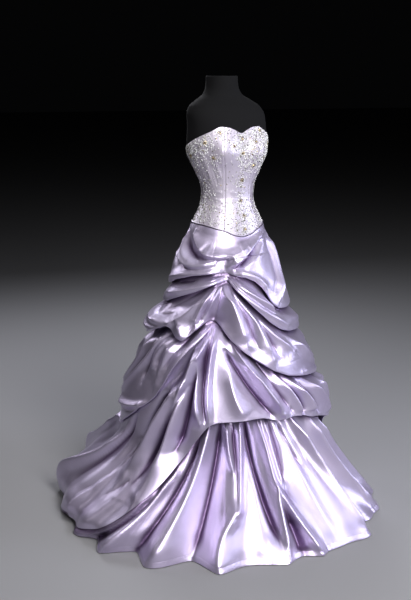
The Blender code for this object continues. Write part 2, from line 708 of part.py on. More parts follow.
def make_material(name, colour, roughness, metallic, sheen):
    material = bpy.data.materials.new(name)
    material.use_nodes = True
    shader = material.node_tree.nodes["Principled BSDF"]
    shader.inputs["Base Color"].default_value = colour
    shader.inputs["Roughness"].default_value = roughness
    shader.inputs["Metallic"].default_value = metallic
    shader.inputs["Sheen Weight"].default_value = sheen
    return material


def main():
    for old in list(bpy.data.objects):
        bpy.data.objects.remove(old)
    satin = make_material("satin", COLOURS["satin"], 0.34, 0.0, 0.2)
    bodice_satin = make_material("bodice_satin", COLOURS["bodice_satin"], 0.30, 0.0, 0.2)
    jersey = make_material("jersey", COLOURS["jersey"], 0.9, 0.0, 0.1)
    metal = make_material("metal", COLOURS["metal"], 0.4, 1.0, 0.0)

    angles, grid, outward = bodice_grid()
    make_stand(metal)
    make_torso(angles, grid, jersey)
    make_bodice(grid, outward, bodice_satin)
    make_cord(grid, outward, bodice_satin)
    for layer in ("underskirt", "overskirt", "tier_three", "tier_two", "tier_one"):
        make_skirt_piece(layer + "_front", layer, -90, 90, satin)
        make_skirt_piece(layer + "_back", layer, 90, 270, satin)
    make_skirt_piece("swag_side", "swag", -90, SWAG_FIRST, satin)
    make_skirt_piece("swag_back", "swag", SWAG_LAST, -90, satin)


main()
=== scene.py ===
# %% [markdown]
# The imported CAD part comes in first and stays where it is. Each soft piece
# below is modelled over it in the same metres, so nothing has to be fitted
# by eye. The front faces -Y and the angle round the pole grows towards +X.
# %%
import math
import bpy
import numpy as np
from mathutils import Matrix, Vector


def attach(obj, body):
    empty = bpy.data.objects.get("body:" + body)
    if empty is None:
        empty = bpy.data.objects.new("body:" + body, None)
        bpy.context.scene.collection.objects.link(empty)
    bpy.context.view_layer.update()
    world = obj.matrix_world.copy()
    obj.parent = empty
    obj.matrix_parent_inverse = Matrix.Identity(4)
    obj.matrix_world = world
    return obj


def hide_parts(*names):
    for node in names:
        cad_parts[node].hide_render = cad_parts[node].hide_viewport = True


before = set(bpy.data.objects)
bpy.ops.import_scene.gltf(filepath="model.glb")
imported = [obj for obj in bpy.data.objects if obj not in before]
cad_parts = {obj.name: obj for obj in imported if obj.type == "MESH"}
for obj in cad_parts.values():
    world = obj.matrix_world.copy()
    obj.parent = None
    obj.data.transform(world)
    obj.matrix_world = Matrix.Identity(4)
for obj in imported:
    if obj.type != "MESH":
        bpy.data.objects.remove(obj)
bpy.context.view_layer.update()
print("nodes:", len(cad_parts))

# %% [markdown]
# A few small helpers carry the whole script. The first reads a smooth curve
# through one column of a short table. Its slopes are limited between the
# rows, so the curve never swings past the values that were written down.
# %%


def smoothstep(value, low, high):
    t = np.clip((value - low) / (high - low), 0.0, 1.0)
    return t * t * (3.0 - 2.0 * t)


def along_table(x, table, column):
    rows = sorted(table)
    xs = np.array([row[0] for row in rows], float)
    ys = np.array([row[column] for row in rows], float)
    secant = np.diff(ys) / np.diff(xs)
    slope = np.zeros(len(xs))
    slope[-1] = secant[-1]
    for i in range(1, len(xs) - 1):
        a, b = secant[i - 1], secant[i]
        slope[i] = 0.0 if a * b <= 0 else 2.0 * a * b / (a + b)
    x = np.clip(np.asarray(x, float), xs[0], xs[-1])
    k = np.clip(np.searchsorted(xs, x, side="right") - 1, 0, len(xs) - 2)
    step = xs[k + 1] - xs[k]
    t = (x - xs[k]) / step
    start = (1 + 2 * t) * (1 - t) ** 2 * ys[k] + t * (1 - t) ** 2 * step * slope[k]
    return start + t * t * (3 - 2 * t) * ys[k + 1] + t * t * (t - 1) * step * slope[k + 1]


def wrapped(angle):
    return (np.asarray(angle, float) + 180.0) % 360.0 - 180.0


def point(angle, radius, height):
    turn = np.radians(angle)
    return np.stack([radius * np.sin(turn), -radius * np.cos(turn), height + 0 * turn], axis=-1)


# %% [markdown]
# The body under the bodice is one function of angle and height. A rounded
# oval is read from the table of sections, and the two cups are soft bumps
# added to it. The form, the panels, the cord and the beads all call it, so
# they follow each other exactly.
# %%
TORSO = [
    (0.840, 0.120, 0.092, 0.100, 0.000), (0.930, 0.140, 0.104, 0.116, 0.000),
    (0.975, 0.137, 0.106, 0.114, 0.000), (1.004, 0.134, 0.102, 0.107, 0.000),
    (1.033, 0.127, 0.097, 0.096, 0.000), (1.062, 0.114, 0.090, 0.086, 0.000),
    (1.091, 0.099, 0.080, 0.077, 0.000), (1.130, 0.091, 0.073, 0.070, 0.000),
    (1.176, 0.096, 0.076, 0.075, 0.000), (1.205, 0.109, 0.081, 0.085, 0.000),
    (1.233, 0.122, 0.086, 0.093, 0.000), (1.261, 0.137, 0.093, 0.100, 0.000),
    (1.289, 0.146, 0.097, 0.104, 0.000), (1.320, 0.149, 0.097, 0.105, 0.000),
    (1.350, 0.148, 0.092, 0.103, 0.000), (1.376, 0.147, 0.086, 0.101, 0.000),
    (1.410, 0.148, 0.078, 0.096, 0.006), (1.440, 0.136, 0.066, 0.084, 0.016),
    (1.462, 0.106, 0.055, 0.066, 0.026), (1.482, 0.073, 0.050, 0.054, 0.034),
    (1.508, 0.058, 0.052, 0.052, 0.038), (1.545, 0.054, 0.054, 0.054, 0.040),
]
NECKLINE = [
    (0, 1.350), (17, 1.362), (30, 1.370), (43, 1.372), (58, 1.356),
    (75, 1.336), (95, 1.314), (130, 1.292), (180, 1.282),
]
BASQUE = [
    (0, 0.993), (11, 0.996), (20, 1.000), (31, 1.010), (45, 1.020),
    (75, 1.034), (120, 1.036), (180, 1.036),
]
SECTION_POWER = 2.3
CUP_ANGLE, CUP_HEIGHT, CUP_DEPTH, CUP_SPREAD, CUP_RISE = 35.0, 1.292, 0.021, 18.0, 0.047


def torso_point(angle, height):
    angle = wrapped(angle)
    half, front, back, behind = (along_table(height, TORSO, column) for column in (1, 2, 3, 4))
    turn = np.radians(angle)
    depth = np.where(np.abs(angle) <= 90, front, back)
    side_part = np.abs(np.sin(turn) / half) ** SECTION_POWER
    depth_part = np.abs(np.cos(turn) / depth) ** SECTION_POWER
    radius = (side_part + depth_part) ** (-1.0 / SECTION_POWER)
    across = (np.abs(angle) - CUP_ANGLE) / CUP_SPREAD
    up = (height - CUP_HEIGHT) / CUP_RISE
    radius = radius + CUP_DEPTH * np.exp(-across ** 2 - up ** 2)
    return point(angle, radius, height) + np.stack([0 * radius, behind, 0 * radius], axis=-1)


print("waist half width:", round(float(torso_point(90.0, 1.13)[0]), 3))

# %% [markdown]
# The skirt starts from a smooth cone with a train, given by its radius in
# front, on the left, behind and on the right. Another table says how far
# the drapery stands off it. Each tier then has an edge line: the peaks of
# that line are the tacks that the cloth is caught up to.
# %%
UNDERSKIRT = [
    (1.030, 0.103, 0.128, 0.101, 0.128), (0.930, 0.131, 0.151, 0.138, 0.151),
    (0.800, 0.163, 0.180, 0.180, 0.180), (0.650, 0.205, 0.215, 0.232, 0.215),
    (0.500, 0.255, 0.262, 0.300, 0.262), (0.360, 0.315, 0.322, 0.385, 0.325),
    (0.300, 0.345, 0.338, 0.425, 0.355), (0.250, 0.375, 0.350, 0.465, 0.392),
    (0.200, 0.410, 0.372, 0.520, 0.437), (0.100, 0.492, 0.436, 0.650, 0.545),
    (0.045, 0.545, 0.476, 0.740, 0.590), (0.015, 0.572, 0.512, 0.790, 0.592),
    (0.000, 0.585, 0.525, 0.800, 0.592),
]
LOFT = [
    (1.030, 0.003, 0.003, 0.003), (0.975, 0.007, 0.008, 0.007), (0.930, 0.013, 0.016, 0.014),
    (0.860, 0.026, 0.026, 0.024), (0.780, 0.038, 0.040, 0.036), (0.710, 0.046, 0.048, 0.044),
    (0.630, 0.052, 0.062, 0.054), (0.560, 0.055, 0.065, 0.056), (0.480, 0.055, 0.070, 0.058),
    (0.400, 0.047, 0.058, 0.044), (0.340, 0.036, 0.042, 0.026), (0.250, 0.018, 0.020, 0.016),
    (0.150, 0.011, 0.012, 0.012), (0.000, 0.009, 0.009, 0.009),
]
EDGES = {
    "tier_one": [
        (-122, 0.815), (-103, 0.825), (-91, 0.843), (-68, 0.865), (-48, 0.874), (-32, 0.878),
        (-23, 0.868), (-9, 0.860), (2, 0.844), (8, 0.825), (13, 0.803), (17, 0.763),
        (25, 0.744), (39, 0.739), (62, 0.745),
    ],
    "tier_two": [
        (-122, 0.752), (-100, 0.760), (-75, 0.795), (-61, 0.814), (-46, 0.838), (-30, 0.854),
        (-24, 0.830), (-16, 0.802), (-7, 0.767), (2, 0.734), (10, 0.702), (19, 0.676),
        (29, 0.663), (44, 0.656), (62, 0.658),
    ],
    "tier_three": [
        (-122, 0.626), (-109, 0.643), (-90, 0.675), (-81, 0.692), (-70, 0.655), (-64, 0.648),
        (-58, 0.680), (-50, 0.714), (-42, 0.716), (-35, 0.695), (-27, 0.657), (-18, 0.619),
        (-7, 0.581), (4, 0.546), (15, 0.522), (27, 0.509), (62, 0.481),
    ],
    "swag": [
        (-45, 0.692), (-57, 0.626), (-66, 0.560), (-71, 0.500), (-77, 0.450), (-84, 0.412),
        (-100, 0.345), (-112, 0.300), (-120, 0.280),
    ],
    "overskirt": [
        (-180, 0.016), (-110, 0.016), (-94, 0.016), (-85, 0.020), (-77, 0.040), (-71, 0.078),
        (-65, 0.134), (-60, 0.184), (-54, 0.264), (-46, 0.343), (-41, 0.385), (-37, 0.395),
        (-28, 0.398), (-17, 0.403), (-9, 0.403), (-2, 0.389), (6, 0.391), (16, 0.390),
        (24, 0.373), (38, 0.350), (52, 0.323), (66, 0.282), (80, 0.215), (92, 0.135),
        (104, 0.065), (118, 0.028), (132, 0.016), (180, 0.016),
    ],
}
SWAG_FIRST, SWAG_LAST = -45.0, -195.0
HEM_FOLDS = [
    (50, 34, 0.40, 5.0, 0.020), (33, 22, 0.36, 4.5, 0.016), (19, 10, 0.40, 5.0, 0.022),
    (-2, -3, 0.40, 5.0, 0.016), (-14, -12, 0.38, 4.5, 0.018), (-33, -24, 0.42, 6.0, 0.060),
    (-52, -42, 0.40, 6.5, 0.070), (-71, -56, 0.32, 6.0, 0.058), (-86, -66, 0.30, 5.5, 0.036),
    (-104, -90, 0.32, 6.5, 0.030), (-122, -104, 0.34, 6.5, 0.032), (-140, -124, 0.34, 6.5, 0.028),
    (-158, -146, 0.36, 6.5, 0.028), (-176, -168, 0.36, 6.5, 0.026), (168, 160, 0.36, 6.5, 0.028),
    (151, 140, 0.36, 6.5, 0.028), (133, 122, 0.34, 6.5, 0.028), (116, 106, 0.34, 6.5, 0.028),
    (98, 88, 0.36, 6.0, 0.026), (82, 72, 0.38, 5.5, 0.024), (66, 52, 0.38, 5.0, 0.022),
]
CLOTH, REST_GAP, HEM_HEIGHT = 0.0024, 0.0004, 0.0015
FINE = np.arange(-180.0, 180.0, 0.5)


def skirt_table(angle, height, table):
    angle = wrapped(angle)
    front, side, back = (along_table(height, table, column) for column in (1, 2, 3))
    behind = np.sin(np.radians(angle)) ** 2
    if len(table[0]) == 5:
        side = np.where(angle < 0, along_table(height, table, 4), side)
        narrow = 1.0 + 3.5 * (1.0 - smoothstep(height, 0.10, 0.36))
        behind = 1.0 - (1.0 - behind) ** narrow
    share = np.where(np.abs(angle) < 90, np.sin(np.radians(angle)) ** 2, behind)
    end = np.where(np.abs(angle) < 90, front, back)
    return end + (side - end) * share


def raw_edge(angle, layer):
    angle = wrapped(angle)
    table = sorted(EDGES[layer])
    xs, ys = [row[0] for row in table], [row[1] for row in table]
    if layer == "overskirt":
        return np.interp(angle, xs, ys)
    if layer == "swag":
        turn = (angle + 360.0 * (angle > 60)) % 360.0 - 360.0
        return np.interp(-120.0 + np.abs(turn + 120.0), xs, ys)
    seen = np.where((angle > 60) | (angle < -120), wrapped(120 - angle), angle)
    return np.interp(np.clip(seen, xs[0], xs[-1]), xs, ys)


def softened(values, spread):
    """A closed line of values blurred a little, so it has no corners."""
    reach = int(4 * spread / 0.5)
    offsets = np.arange(-reach, reach + 1)
    weights = np.exp(-0.5 * (offsets * 0.5 / spread) ** 2)
    padded = np.concatenate([values[-reach:], values, values[:reach]])
    return np.convolve(padded, weights / weights.sum(), mode="valid")


EDGE_LINES = {name: softened(raw_edge(FINE, name), 1.6) for name in EDGES}


def edge(angle, layer):
    return np.interp(wrapped(angle), FINE, EDGE_LINES[layer], period=360.0)


def hem_fold(angle, height):
    total = 0.0 * angle
    for at_hem, at_top, reach, half_width, rise in HEM_FOLDS:
        t = np.clip((reach - height) / reach, 0.0, 1.0)
        centre = at_top + (at_hem - at_top) * t
        away = wrapped(angle - centre) / (half_width * (0.75 + 0.25 * t))
        total = total + rise * t ** 1.15 * np.exp(-away ** 2)
    return total


def lean(angle, height):
    """Layers are stacked outward, and upward where the train lies flat."""
    step = 0.012
    lower = skirt_table(angle, np.maximum(height - step, 0.0), UNDERSKIRT)
    upper = skirt_table(angle, np.maximum(height + step, 2 * step), UNDERSKIRT)
    behind = smoothstep(np.abs(wrapped(angle)), 70, 125)
    tilt = np.arctan((lower - upper) / (2 * step))
    tilt = tilt * (1.0 - smoothstep(height, 0.08, 0.34)) * behind
    return np.cos(tilt), np.sin(tilt)


def skirt_point(angle, height, offset):
    radius = skirt_table(angle, height, UNDERSKIRT)
    body = torso_point(angle, np.maximum(height, 0.93))
    body = np.hypot(body[..., 0], body[..., 1]) + REST_GAP
    waist = along_table(np.abs(wrapped(angle)), BASQUE, 1)
    free = smoothstep(waist - height, 0.0, 0.10)
    radius = np.where(height > 0.93, body + (np.maximum(radius, body) - body) * free, radius)
    out, up = lean(angle, height)
    total = hem_fold(angle, height) + offset
    return point(angle, radius + out * total, height + up * total)


print("edge of the first tier at the tack:", round(float(edge(-32, "tier_one")), 3))

# %% [markdown]
# Drapery is mostly creases. Each row of this table is one crease of a layer:
# three places that it passes through as angle and height, its width at the
# start and the end, and its rise, with all lengths in millimetres. A negative
# rise is a sharp valley. The last value leans it: above zero the far side is
# steep, below zero the near one, which sets hard lights beside deep shade. A
# ridge has nearly straight flanks, since stiff satin bends in lines.
# %%
CREASES = {
    "tier_one": [
        (51, 1010, 10, 957, -28, 894, 12, 14, 19, 0.7), (42, 998, 9, 943, -20, 892, 10, 9, -15, 0),
        (48, 985, 18, 932, -12, 888, 14, 14, 6, -0.4), (62, 985, 52, 900, 30, 785, 12, 22, 15, 0.6),
        (50, 960, 41, 880, 22, 795, 8, 14, -9, 0), (-66, 950, -35, 933, 2, 966, 12, 16, 12, -0.6),
        (-70, 924, -46, 919, -26, 922, 10, 8, -8, 0), (-106, 955, -80, 906, -46, 913, 14, 13, 15, -0.6),
        (-100, 912, -76, 884, -46, 895, 10, 8, -7, 0), (-92, 1020, -88, 960, -68, 924, 8, 10, -14, 0),
        (-104, 1000, -94, 950, -76, 919, 9, 10, 11, 0.5), (-82, 1018, -77, 985, -60, 946, 10, 13, 11, -0.5),
        (-113, 990, -104, 930, -88, 900, 9, 10, -10, 0), (-114, 836, -82, 866, -40, 886, 14, 11, 9, 0.4),
        (-31, 884, -27, 906, -20, 934, 7, 9, 7, 0.3), (-22, 878, 2, 862, 15, 815, 9, 13, 8, 0.3),
        (96, 985, 120, 925, 146, 900, 14, 12, 11, 0.5), (86, 960, 112, 900, 146, 885, 11, 10, 7, -0.4),
        (76, 930, 84, 860, 92, 770, 12, 18, 11, 0.5), (190, 985, 176, 935, 160, 905, 14, 12, 11, 0.5),
        (214, 900, 190, 890, 168, 890, 12, 12, 9, 0.4), (232, 960, 214, 930, 190, 915, 11, 12, 8, 0.4),
    ],
    "tier_two": [
        (-22, 852, -3, 802, 25, 736, 9, 13, 12, 0.5), (-24, 842, -5, 789, 21, 718, 6, 8, -8, 0),
        (-27, 846, -6, 777, 26, 688, 9, 14, 11, -0.5), (10, 790, 34, 718, 62, 692, 12, 16, 8, 0.4),
        (-104, 794, -66, 824, -36, 853, 13, 10, 12, -0.5), (-92, 832, -78, 838, -66, 848, 10, 8, -12, 0),
        (-66, 846, -52, 850, -38, 860, 8, 7, 6, 0), (147, 848, 122, 772, 96, 697, 10, 14, 10, 0.5),
        (150, 820, 132, 775, 118, 740, 8, 10, 6, -0.5), (210, 800, 186, 825, 164, 850, 12, 12, 9, 0.4),
    ],
    "tier_three": [
        (-43, 832, -53, 757, -57, 708, 8, 12, 15, -0.5), (-41, 828, -49.5, 760, -55, 712, 5, 7, -12, 0),
        (-38.5, 832, -45.5, 766, -51, 716, 7, 9, 13, 0.5), (-36, 830, -40, 765, -44, 716, 7, 11, -10, 0),
        (-33, 834, -24, 765, -16, 645, 11, 24, 19, 0.5), (-29, 825, -16, 748, -7, 630, 6, 11, -12, 0),
        (-27, 822, -9, 735, 3, 590, 9, 17, 15, 0.6), (-23, 808, -2, 720, 11, 590, 6, 10, -12, 0),
        (-16, 780, 4, 694, 24, 600, 8, 12, 8, 0.5), (2, 738, 24, 655, 46, 560, 12, 18, 8, 0.5),
        (14, 690, 36, 610, 60, 535, 12, 18, 9, 0.5), (30, 520, 44, 512, 60, 495, 8, 8, 5, 0.3),
        (-46, 836, -62, 757, -75, 714, 12, 20, 17, -0.5), (-50, 834, -72, 782, -90, 742, 8, 13, -10, 0),
        (-58, 830, -82, 786, -104, 756, 12, 16, 10, -0.4),
        (-114, 712, -90, 698, -76, 710, 13, 12, 12, -0.5), (-116, 740, -98, 722, -82, 728, 10, 10, -8, 0),
        (-120, 676, -102, 664, -86, 684, 12, 10, 7, 0.4), (-70, 706, -66, 680, -64, 660, 10, 12, 8, 0.4),
        (-58, 706, -60, 690, -62, 668, 6, 7, -6, 0), (128, 770, 112, 650, 92, 545, 12, 16, 12, 0.5),
        (150, 800, 138, 700, 124, 590, 10, 15, 12, -0.5), (140, 790, 122, 690, 104, 580, 8, 10, -8, 0),
        (176, 800, 184, 740, 190, 690, 12, 14, 11, 0.5), (214, 790, 204, 730, 196, 690, 12, 14, 10, 0.5),
        (90, 620, 76, 560, 64, 520, 12, 14, 8, 0.4),
    ],
    "swag": [
        (-47, 704, -58, 645, -72, 478, 9, 16, 13, -0.6), (-50, 700, -62, 660, -76, 540, 7, 10, -9, 0),
        (-56, 710, -70, 650, -78, 500, 9, 14, 11, -0.5), (-66, 690, -82, 604, -82, 540, 10, 14, 12, 0.5),
        (-74, 680, -90, 590, -94, 480, 8, 10, -8, 0), (-84, 660, -96, 560, -120, 416, 12, 18, 13, 0.5),
        (-94, 650, -106, 540, -128, 430, 10, 12, -8, 0), (-104, 620, -116, 510, -136, 400, 14, 18, 12, 0.5),
        (-128, 600, -140, 500, -160, 420, 16, 18, 12, 0.5),
        (-186, 660, -172, 580, -160, 470, 12, 16, 13, 0.5),
        (-176, 660, -160, 560, -146, 430, 10, 12, 9, 0.5), (-122, 372, -98, 392, -85, 420, 12, 10, 11, 0.4),
        (-120, 340, -102, 362, -90, 395, 7, 7, -6, 0),
    ],
    "overskirt": [
        (-46, 690, -49, 543, -45, 396, 7, 9, 17, 0.4), (-42.5, 685, -45.5, 545, -42.5, 400, 6, 6, -11, 0),
        (-39, 685, -42, 545, -40, 400, 7, 8, 13, 0.4), (-27, 655, -14, 563, 2, 412, 10, 15, 28, -0.4),
        (-32, 625, -20, 530, -4, 415, 9, 13, -16, 0), (-20, 640, -4, 545, 10, 415, 10, 13, -12, 0),
        (-29, 560, -26, 480, -20, 410, 14, 18, 8, 0), (2, 560, 12, 470, 16, 396, 8, 10, 14, 0.5),
        (8, 530, 17, 455, 20, 392, 7, 8, -12, 0), (14, 520, 23, 450, 27, 388, 10, 14, 16, 0.5),
        (24, 500, 33, 430, 38, 365, 10, 12, -12, 0), (32, 495, 43, 420, 52, 335, 10, 14, 15, 0.5),
        (50, 480, 62, 390, 74, 270, 10, 14, 13, 0.5), (-47, 680, -56, 500, -66, 165, 10, 20, 32, -0.5),
        (-49, 600, -52, 450, -57, 300, 10, 16, -22, 0), (-58, 512, -69, 402, -80, 200, 15, 27, 26, -0.3),
        (-53, 520, -62, 390, -73, 180, 10, 16, -18, 0), (-66, 480, -78, 360, -91, 120, 12, 20, -26, 0),
        (-84, 280, -90, 140, -95, 30, 12, 16, 18, -0.4), (-76, 180, -82, 100, -87, 30, 10, 14, -12, 0),
        (-92, 360, -99, 220, -106, 60, 12, 20, -22, 0), (-98, 300, -110, 150, -126, 40, 14, 26, 22, 0.3),
        (-114, 270, -128, 130, -142, 40, 14, 24, -16, 0), (-128, 290, -142, 150, -154, 40, 16, 26, 20, 0.3),
        (-160, 270, -166, 150, -170, 50, 14, 18, 10, 0.4), (176, 500, 178, 300, 180, 80, 14, 20, 11, 0.4),
        (160, 640, 162, 400, 160, 100, 14, 20, 13, 0.5), (66, 470, 80, 350, 96, 170, 14, 18, 13, 0.5),
        (78, 500, 96, 350, 112, 120, 12, 16, 10, 0.5), (92, 500, 110, 330, 124, 120, 14, 20, 14, 0.5),
        (116, 540, 134, 340, 146, 120, 14, 20, 14, 0.5), (136, 600, 146, 400, 154, 140, 12, 18, 11, 0.5),
    ],
    "underskirt": [
        (-41, 385, -46, 190, -54, 5, 12, 22, 14, 0.3), (-35, 375, -38, 200, -42, 10, 18, 36, -26, 0),
        (-31, 385, -30, 310, -28, 250, 6, 6, 12, 0), (-27, 370, -26, 260, -27, 140, 8, 10, -14, 0),
        (-23, 398, -25, 220, -27, 130, 10, 14, 20, 0.4), (-27, 150, -33, 80, -33, 5, 12, 18, 12, -0.4),
        (-16, 300, -18, 150, -20, 10, 26, 48, 11, 0), (-19, 390, -16, 200, -12, 45, 10, 16, -26, 0),
        (-12, 395, -9.5, 206, -11, 10, 10, 14, 20, 0.3), (-7, 385, -6, 280, -5, 190, 9, 8, 12, 0),
        (-3, 380, -2, 290, -4, 200, 7, 8, -10, 0), (-9, 200, -4, 100, 0, 10, 8, 12, 20, -0.5),
        (-6, 100, -5, 50, -5, 10, 14, 20, -20, 0), (4, 350, 6, 200, 9, 10, 26, 45, 12, 0),
        (3, 370, 6, 300, 9, 230, 8, 10, -12, 0), (11.5, 385, 20, 210, 23, 5, 11, 20, 30, 0.7),
        (17, 370, 27, 200, 31, 10, 14, 26, -34, 0), (29, 368, 37, 190, 44, 12, 12, 22, 20, 0.4),
        (37, 350, 46, 190, 52, 10, 10, 18, -18, 0), (44, 330, 53, 180, 60, 10, 12, 20, 16, 0.4),
        (-47, 330, -53, 170, -61, 10, 10, 18, -26, 0), (-55, 225, -62, 120, -70, 5, 10, 18, 18, 0.3),
        (-59, 180, -67, 80, -77, 10, 10, 14, -20, 0), (-61, 175, -74, 60, -85, 5, 10, 16, 16, 0.3),
        (62, 300, 70, 160, 78, 10, 12, 22, -18, 0), (70, 250, 78, 130, 85, 10, 12, 20, 16, 0.4),
        (86, 160, 92, 80, 98, 10, 12, 20, 14, 0.4),
    ],
}
PUFFS = [
    ("tier_one", -112, 0.905, 30, 0.060, 0.016), ("tier_one", -75, 0.890, 14, 0.030, 0.008),
    ("tier_one", 36, 0.800, 20, 0.050, 0.010), ("tier_one", 12, 0.880, 14, 0.040, 0.006),
    ("tier_two", -95, 0.805, 26, 0.030, 0.014), ("tier_two", 30, 0.705, 18, 0.030, 0.008),
    ("tier_three", -118, 0.690, 26, 0.050, 0.034), ("tier_three", -66, 0.680, 8, 0.032, 0.014),
    ("tier_three", -95, 0.715, 10, 0.030, 0.010), ("tier_three", 20, 0.575, 22, 0.050, 0.008),
    ("tier_three", 100, 0.600, 26, 0.050, 0.012), ("swag", -118, 0.400, 24, 0.070, 0.012),
    ("swag", -70, 0.600, 12, 0.050, 0.012), ("overskirt", 30, 0.430, 24, 0.050, 0.008),
    ("overskirt", -50, 0.450, 10, 0.070, 0.012),
]
TACKS = [
    (-32, 0.880, 0.72), (-43, 0.720, 0.72), (152, 0.880, 0.66), (163, 0.720, 0.66),
]
TACK_ANGLE, TACK_LEVEL = 11.0, 0.040
FOLD_DEPTH = {
    "tier_one": 1.5, "tier_two": 1.6, "tier_three": 1.6, "swag": 1.6,
    "overskirt": 1.9, "underskirt": 2.2,
}
RIPPLES = {
    "tier_one": (12, 11, 0.74, 1.00), "tier_two": (10, 12, 0.65, 0.87),
    "tier_three": (16, 13, 0.48, 0.85), "swag": (14, 14, 0.28, 0.72),
    "overskirt": (30, 15, 0.02, 0.70), "underskirt": (24, 16, 0.01, 0.38),
}
print("creases:", sum(len(rows) for rows in CREASES.values()))

# %% [markdown]
# A crease is laid into a map of the layer: a grid with angle one way and
# height the other, whose values say how far the cloth stands off. Working on
# a map is quick, because each crease only touches its own window of it. The
# same map is read again for the layer beneath, so that cloth never passes
# through cloth.
# %%
MAP_STEP, LEVEL_STEP = 0.5, 0.003
LEVELS = np.arange(0.0, 1.062, LEVEL_STEP)
MAP_ANGLE, MAP_LEVEL = np.meshgrid(FINE, LEVELS, indexing="ij")
CREASE_POINTS, CREASE_REACH = 15, 2.6
RIDGE_WIDTH, RIDGE_BEND = 1.30, 1.45
STEEPER, GENTLER = 0.55, 0.35


def in_metres(row):
    a0, z0, a1, z1, a2, z2, start_width, end_width, rise, side = row
    z0, z1, z2 = z0 / 1000, z1 / 1000, z2 / 1000
    return a0, z0, a1, z1, a2, z2, start_width / 1000, end_width / 1000, rise / 1000, side


def lay_crease(field, row, amount=1.0):
    a0, z0, a1, z1, a2, z2, start_width, end_width, rise, side = row
    arm = math.radians(float(skirt_table(a1, z1, UNDERSKIRT)) + 0.03)
    control_a, control_z = 2 * a1 - (a0 + a2) / 2, 2 * z1 - (z0 + z2) / 2
    t = np.linspace(0, 1, CREASE_POINTS)
    line_a = (1 - t) ** 2 * a0 + 2 * t * (1 - t) * control_a + t * t * a2
    line_z = (1 - t) ** 2 * z0 + 2 * t * (1 - t) * control_z + t * t * z2
    reach = CREASE_REACH * max(start_width, end_width)
    middle = (line_a.min() + line_a.max()) / 2
    half_span = (line_a.max() - line_a.min()) / 2 + reach / arm
    near_a = np.where(np.abs(wrapped(FINE - middle)) <= half_span)[0]
    near_z = np.where((LEVELS >= line_z.min() - reach) & (LEVELS <= line_z.max() + reach))[0]
    if not len(near_a) or not len(near_z):
        return
    x = (wrapped(FINE[near_a] - middle) + middle)[:, None] * arm
    z = LEVELS[near_z][None, :]
    best = np.full((len(near_a), len(near_z)), 1e9)
    where = np.zeros_like(best)
    hand = np.zeros_like(best)
    for i in range(len(t) - 1):
        px, pz = line_a[i] * arm, line_z[i]
        dx, dz = line_a[i + 1] * arm - px, line_z[i + 1] - pz
        s = np.clip(((x - px) * dx + (z - pz) * dz) / (dx * dx + dz * dz), 0, 1)
        away = (x - px - s * dx) ** 2 + (z - pz - s * dz) ** 2
        closer = away < best
        best = np.where(closer, away, best)
        where = np.where(closer, (i + s) / (len(t) - 1), where)
        hand = np.where(closer, np.sign(dx * (z - pz) - dz * (x - px)), hand)
    width = start_width + (end_width - start_width) * where
    if side:
        width = width * np.where(hand * side > 0, 1.0 - STEEPER * abs(side), 1.0 + GENTLER * abs(side))
    fade = (0.45 + 0.55 * smoothstep(where, 0.0, 0.2)) * (1.0 - 0.5 * smoothstep(where, 0.85, 1.0))
    width = width * (RIDGE_WIDTH if rise > 0 else 1.0)
    bend = RIDGE_BEND if rise > 0 else 1.0
    shape = amount * rise * fade * np.exp(-((best + 1e-6) / width ** 2) ** (bend / 2))
    field[np.ix_(near_a, near_z)] += shape


def ripples(field, layer):
    """Small creases that run down and away from the nearest tack."""
    count, seed, low, high = RIPPLES[layer]
    draw = np.random.default_rng(seed)
    for _ in range(count):
        a = draw.uniform(-180, 180)
        bottom = float(edge(a, layer)) if layer != "underskirt" else low
        z = draw.uniform(max(bottom, low), high)
        tack = min(TACKS, key=lambda tack: abs(float(wrapped(a - tack[0]))) + 300 * abs(z - tack[1]))
        away = float(wrapped(a - tack[0]))
        run = np.clip(away, -60, 60) / 60 * draw.uniform(10, 24)
        fall = draw.uniform(0.05, 0.12)
        bow = draw.uniform(-2.5, 2.5)
        width = draw.uniform(0.0080, 0.0160)
        rise = draw.choice([-1, 1, 1]) * draw.uniform(0.0004, 0.0013)
        lay_crease(field, (
            a, z, a + run / 2 + bow, z - fall / 2, a + run, z - fall,
            width * 0.7, width, rise, draw.uniform(-0.6, 0.6),
        ))


def sample(field, angle, height):
    """Reads the map between its grid lines."""
    i = (wrapped(angle) + 180.0) / MAP_STEP
    k = np.clip(np.asarray(height, float) / LEVEL_STEP, 0, len(LEVELS) - 1.001)
    i0 = np.floor(i).astype(int)
    k0 = np.floor(k).astype(int)
    part_i, part_k = i - i0, k - k0
    i1 = (i0 + 1) % len(FINE)
    i0 = i0 % len(FINE)
    low = field[i0, k0] * (1 - part_k) + field[i0, k0 + 1] * part_k
    high = field[i1, k0] * (1 - part_k) + field[i1, k0 + 1] * part_k
    return low * (1 - part_i) + high * part_i


def wanted(layer):
    """Map of how far a layer would stand off if nothing lay over it."""
    field = skirt_table(MAP_ANGLE, MAP_LEVEL, LOFT)
    if layer == "underskirt":
        field = np.full_like(field, CLOTH)
    for name, at, level, spread, rise, depth in PUFFS:
        if name == layer:
            bump = (wrapped(MAP_ANGLE - at) / spread) ** 2 + ((MAP_LEVEL - level) / rise) ** 2
            field = field + depth * np.exp(-bump)
    for row in CREASES[layer]:
        lay_crease(field, in_metres(row), FOLD_DEPTH[layer])
    ripples(field, layer)
    if layer != "underskirt":
        for at, level, share in TACKS:
            near = (wrapped(MAP_ANGLE - at) / TACK_ANGLE) ** 2 + ((MAP_LEVEL - level) / TACK_LEVEL) ** 2
            field = field * (1.0 - share * np.exp(-near))
    return field


print("map:", MAP_ANGLE.shape)

